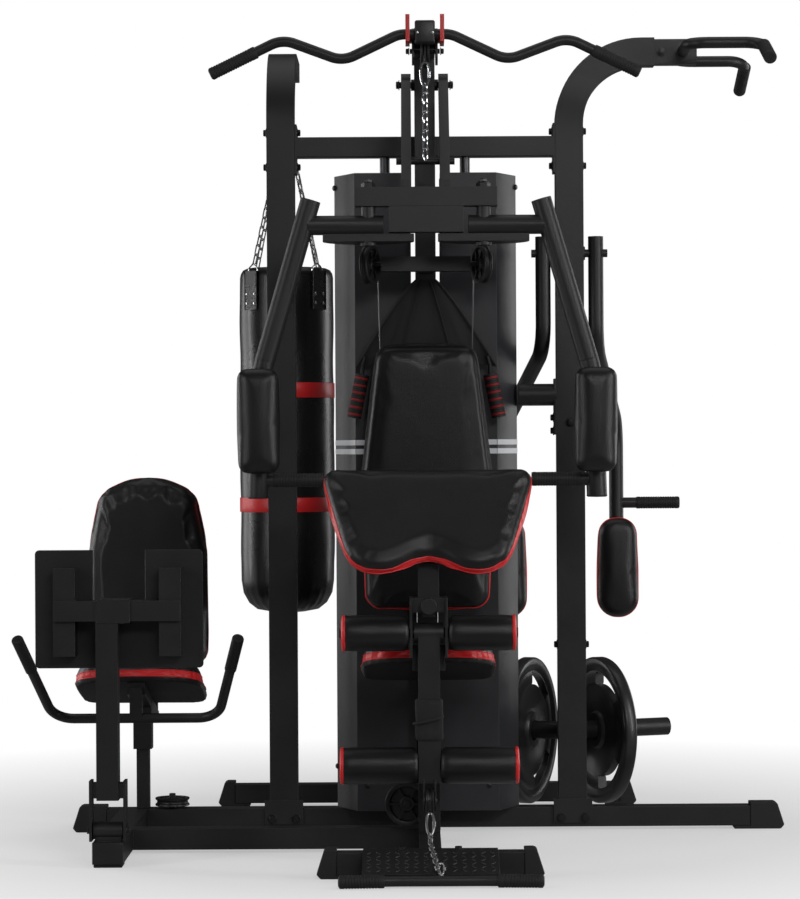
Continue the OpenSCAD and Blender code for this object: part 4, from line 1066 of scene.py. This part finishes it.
def studio_floor():
    """A white floor that takes a soft shadow near the machine and is plain white further out."""
    bm = bmesh.new()
    bmesh.ops.create_grid(bm, x_segments=1, y_segments=1, size=90)
    me = bpy.data.meshes.new("floor")
    bm.to_mesh(me)
    bm.free()
    n, link = STAGE.node_tree.nodes, STAGE.node_tree.links.new
    glow = n.new("ShaderNodeEmission")
    glow.inputs["Color"].default_value = (1, 1, 1, 1)
    where = n.new("ShaderNodeNewGeometry")
    reach = n.new("ShaderNodeVectorMath")
    reach.operation = "LENGTH"
    fade = n.new("ShaderNodeMapRange")
    fade.inputs["From Min"].default_value = 0.9
    fade.inputs["From Max"].default_value = 2.4
    fade.inputs["To Min"].default_value = 0.45
    both = n.new("ShaderNodeMixShader")
    link(to_camera(n, link, 0.9, 0.1), glow.inputs["Strength"])
    link(where.outputs["Position"], reach.inputs[0])
    link(reach.outputs["Value"], fade.inputs["Value"])
    link(fade.outputs[0], both.inputs[0])
    link(n["Principled BSDF"].outputs[0], both.inputs[1])
    link(glow.outputs[0], both.inputs[2])
    link(both.outputs[0], n["Material Output"].inputs[0])
    me.materials.append(STAGE)
    floor = bpy.data.objects.new("floor", me)
    scene.collection.objects.link(floor)


def to_camera(n, link, more, least):
    """A strength of least, and more on top of it for what the camera sees directly."""
    seen = n.new("ShaderNodeLightPath")
    power = n.new("ShaderNodeMath")
    power.operation = "MULTIPLY_ADD"
    power.inputs[1].default_value = more
    power.inputs[2].default_value = least
    link(seen.outputs["Is Camera Ray"], power.inputs[0])
    return power.outputs[0]


def studio_world():
    """White behind the machine, but dim in its reflections."""
    world = bpy.data.worlds.new("studio")
    scene.world = world
    world.use_nodes = True
    n, link = world.node_tree.nodes, world.node_tree.links.new
    n["Background"].inputs["Color"].default_value = (1, 1, 1, 1)
    link(to_camera(n, link, 0.95, 0.05), n["Background"].inputs["Strength"])


def softbox(name, at, size, watts, aim=(0, 0, 1.0)):
    """A rectangular studio light turned towards aim."""
    lamp = bpy.data.lights.new(name, "AREA")
    lamp.shape = "RECTANGLE"
    lamp.size, lamp.size_y = size
    lamp.energy = watts
    o = bpy.data.objects.new(name, lamp)
    o.location = at
    o.rotation_euler = (Vector(aim) - Vector(at)).to_track_quat("-Z", "Y").to_euler()
    scene.collection.objects.link(o)


studio_floor()
studio_world()
softbox("left_box", (-3.2, -2.6, 1.7), (0.5, 3.0), 28)
softbox("left_strip", (-3.8, 0.9, 1.3), (0.4, 2.6), 26, aim=(-0.36, 0.3, 1.0))
softbox("right_box", (3.4, -2.2, 1.8), (0.5, 3.0), 52)
softbox("left_rim", (-4.0, 2.8, 1.5), (1.6, 3.2), 30)
softbox("right_rim", (4.0, 2.8, 1.5), (1.6, 3.2), 46)
softbox("front_box", (1.6, -6.5, 3.4), (2.4, 1.2), 74)
softbox("top_box", (0, 0.2, 4.6), (4.0, 3.0), 26)

cam = bpy.data.cameras.new("camera")
cam.lens, cam.sensor_width = 120.1, 36
cam.shift_x = -12 / 899
cam.clip_end = 100
eye = bpy.data.objects.new("camera", cam)
eye.location = (-0.036, -7.5, 0.95)
eye.rotation_euler = (math.radians(90), math.radians(0.33), 0)
scene.collection.objects.link(eye)
scene.camera = eye
scene.view_settings.view_transform = "Standard"

print("CAD nodes shown as packed:", shown_as_packed)
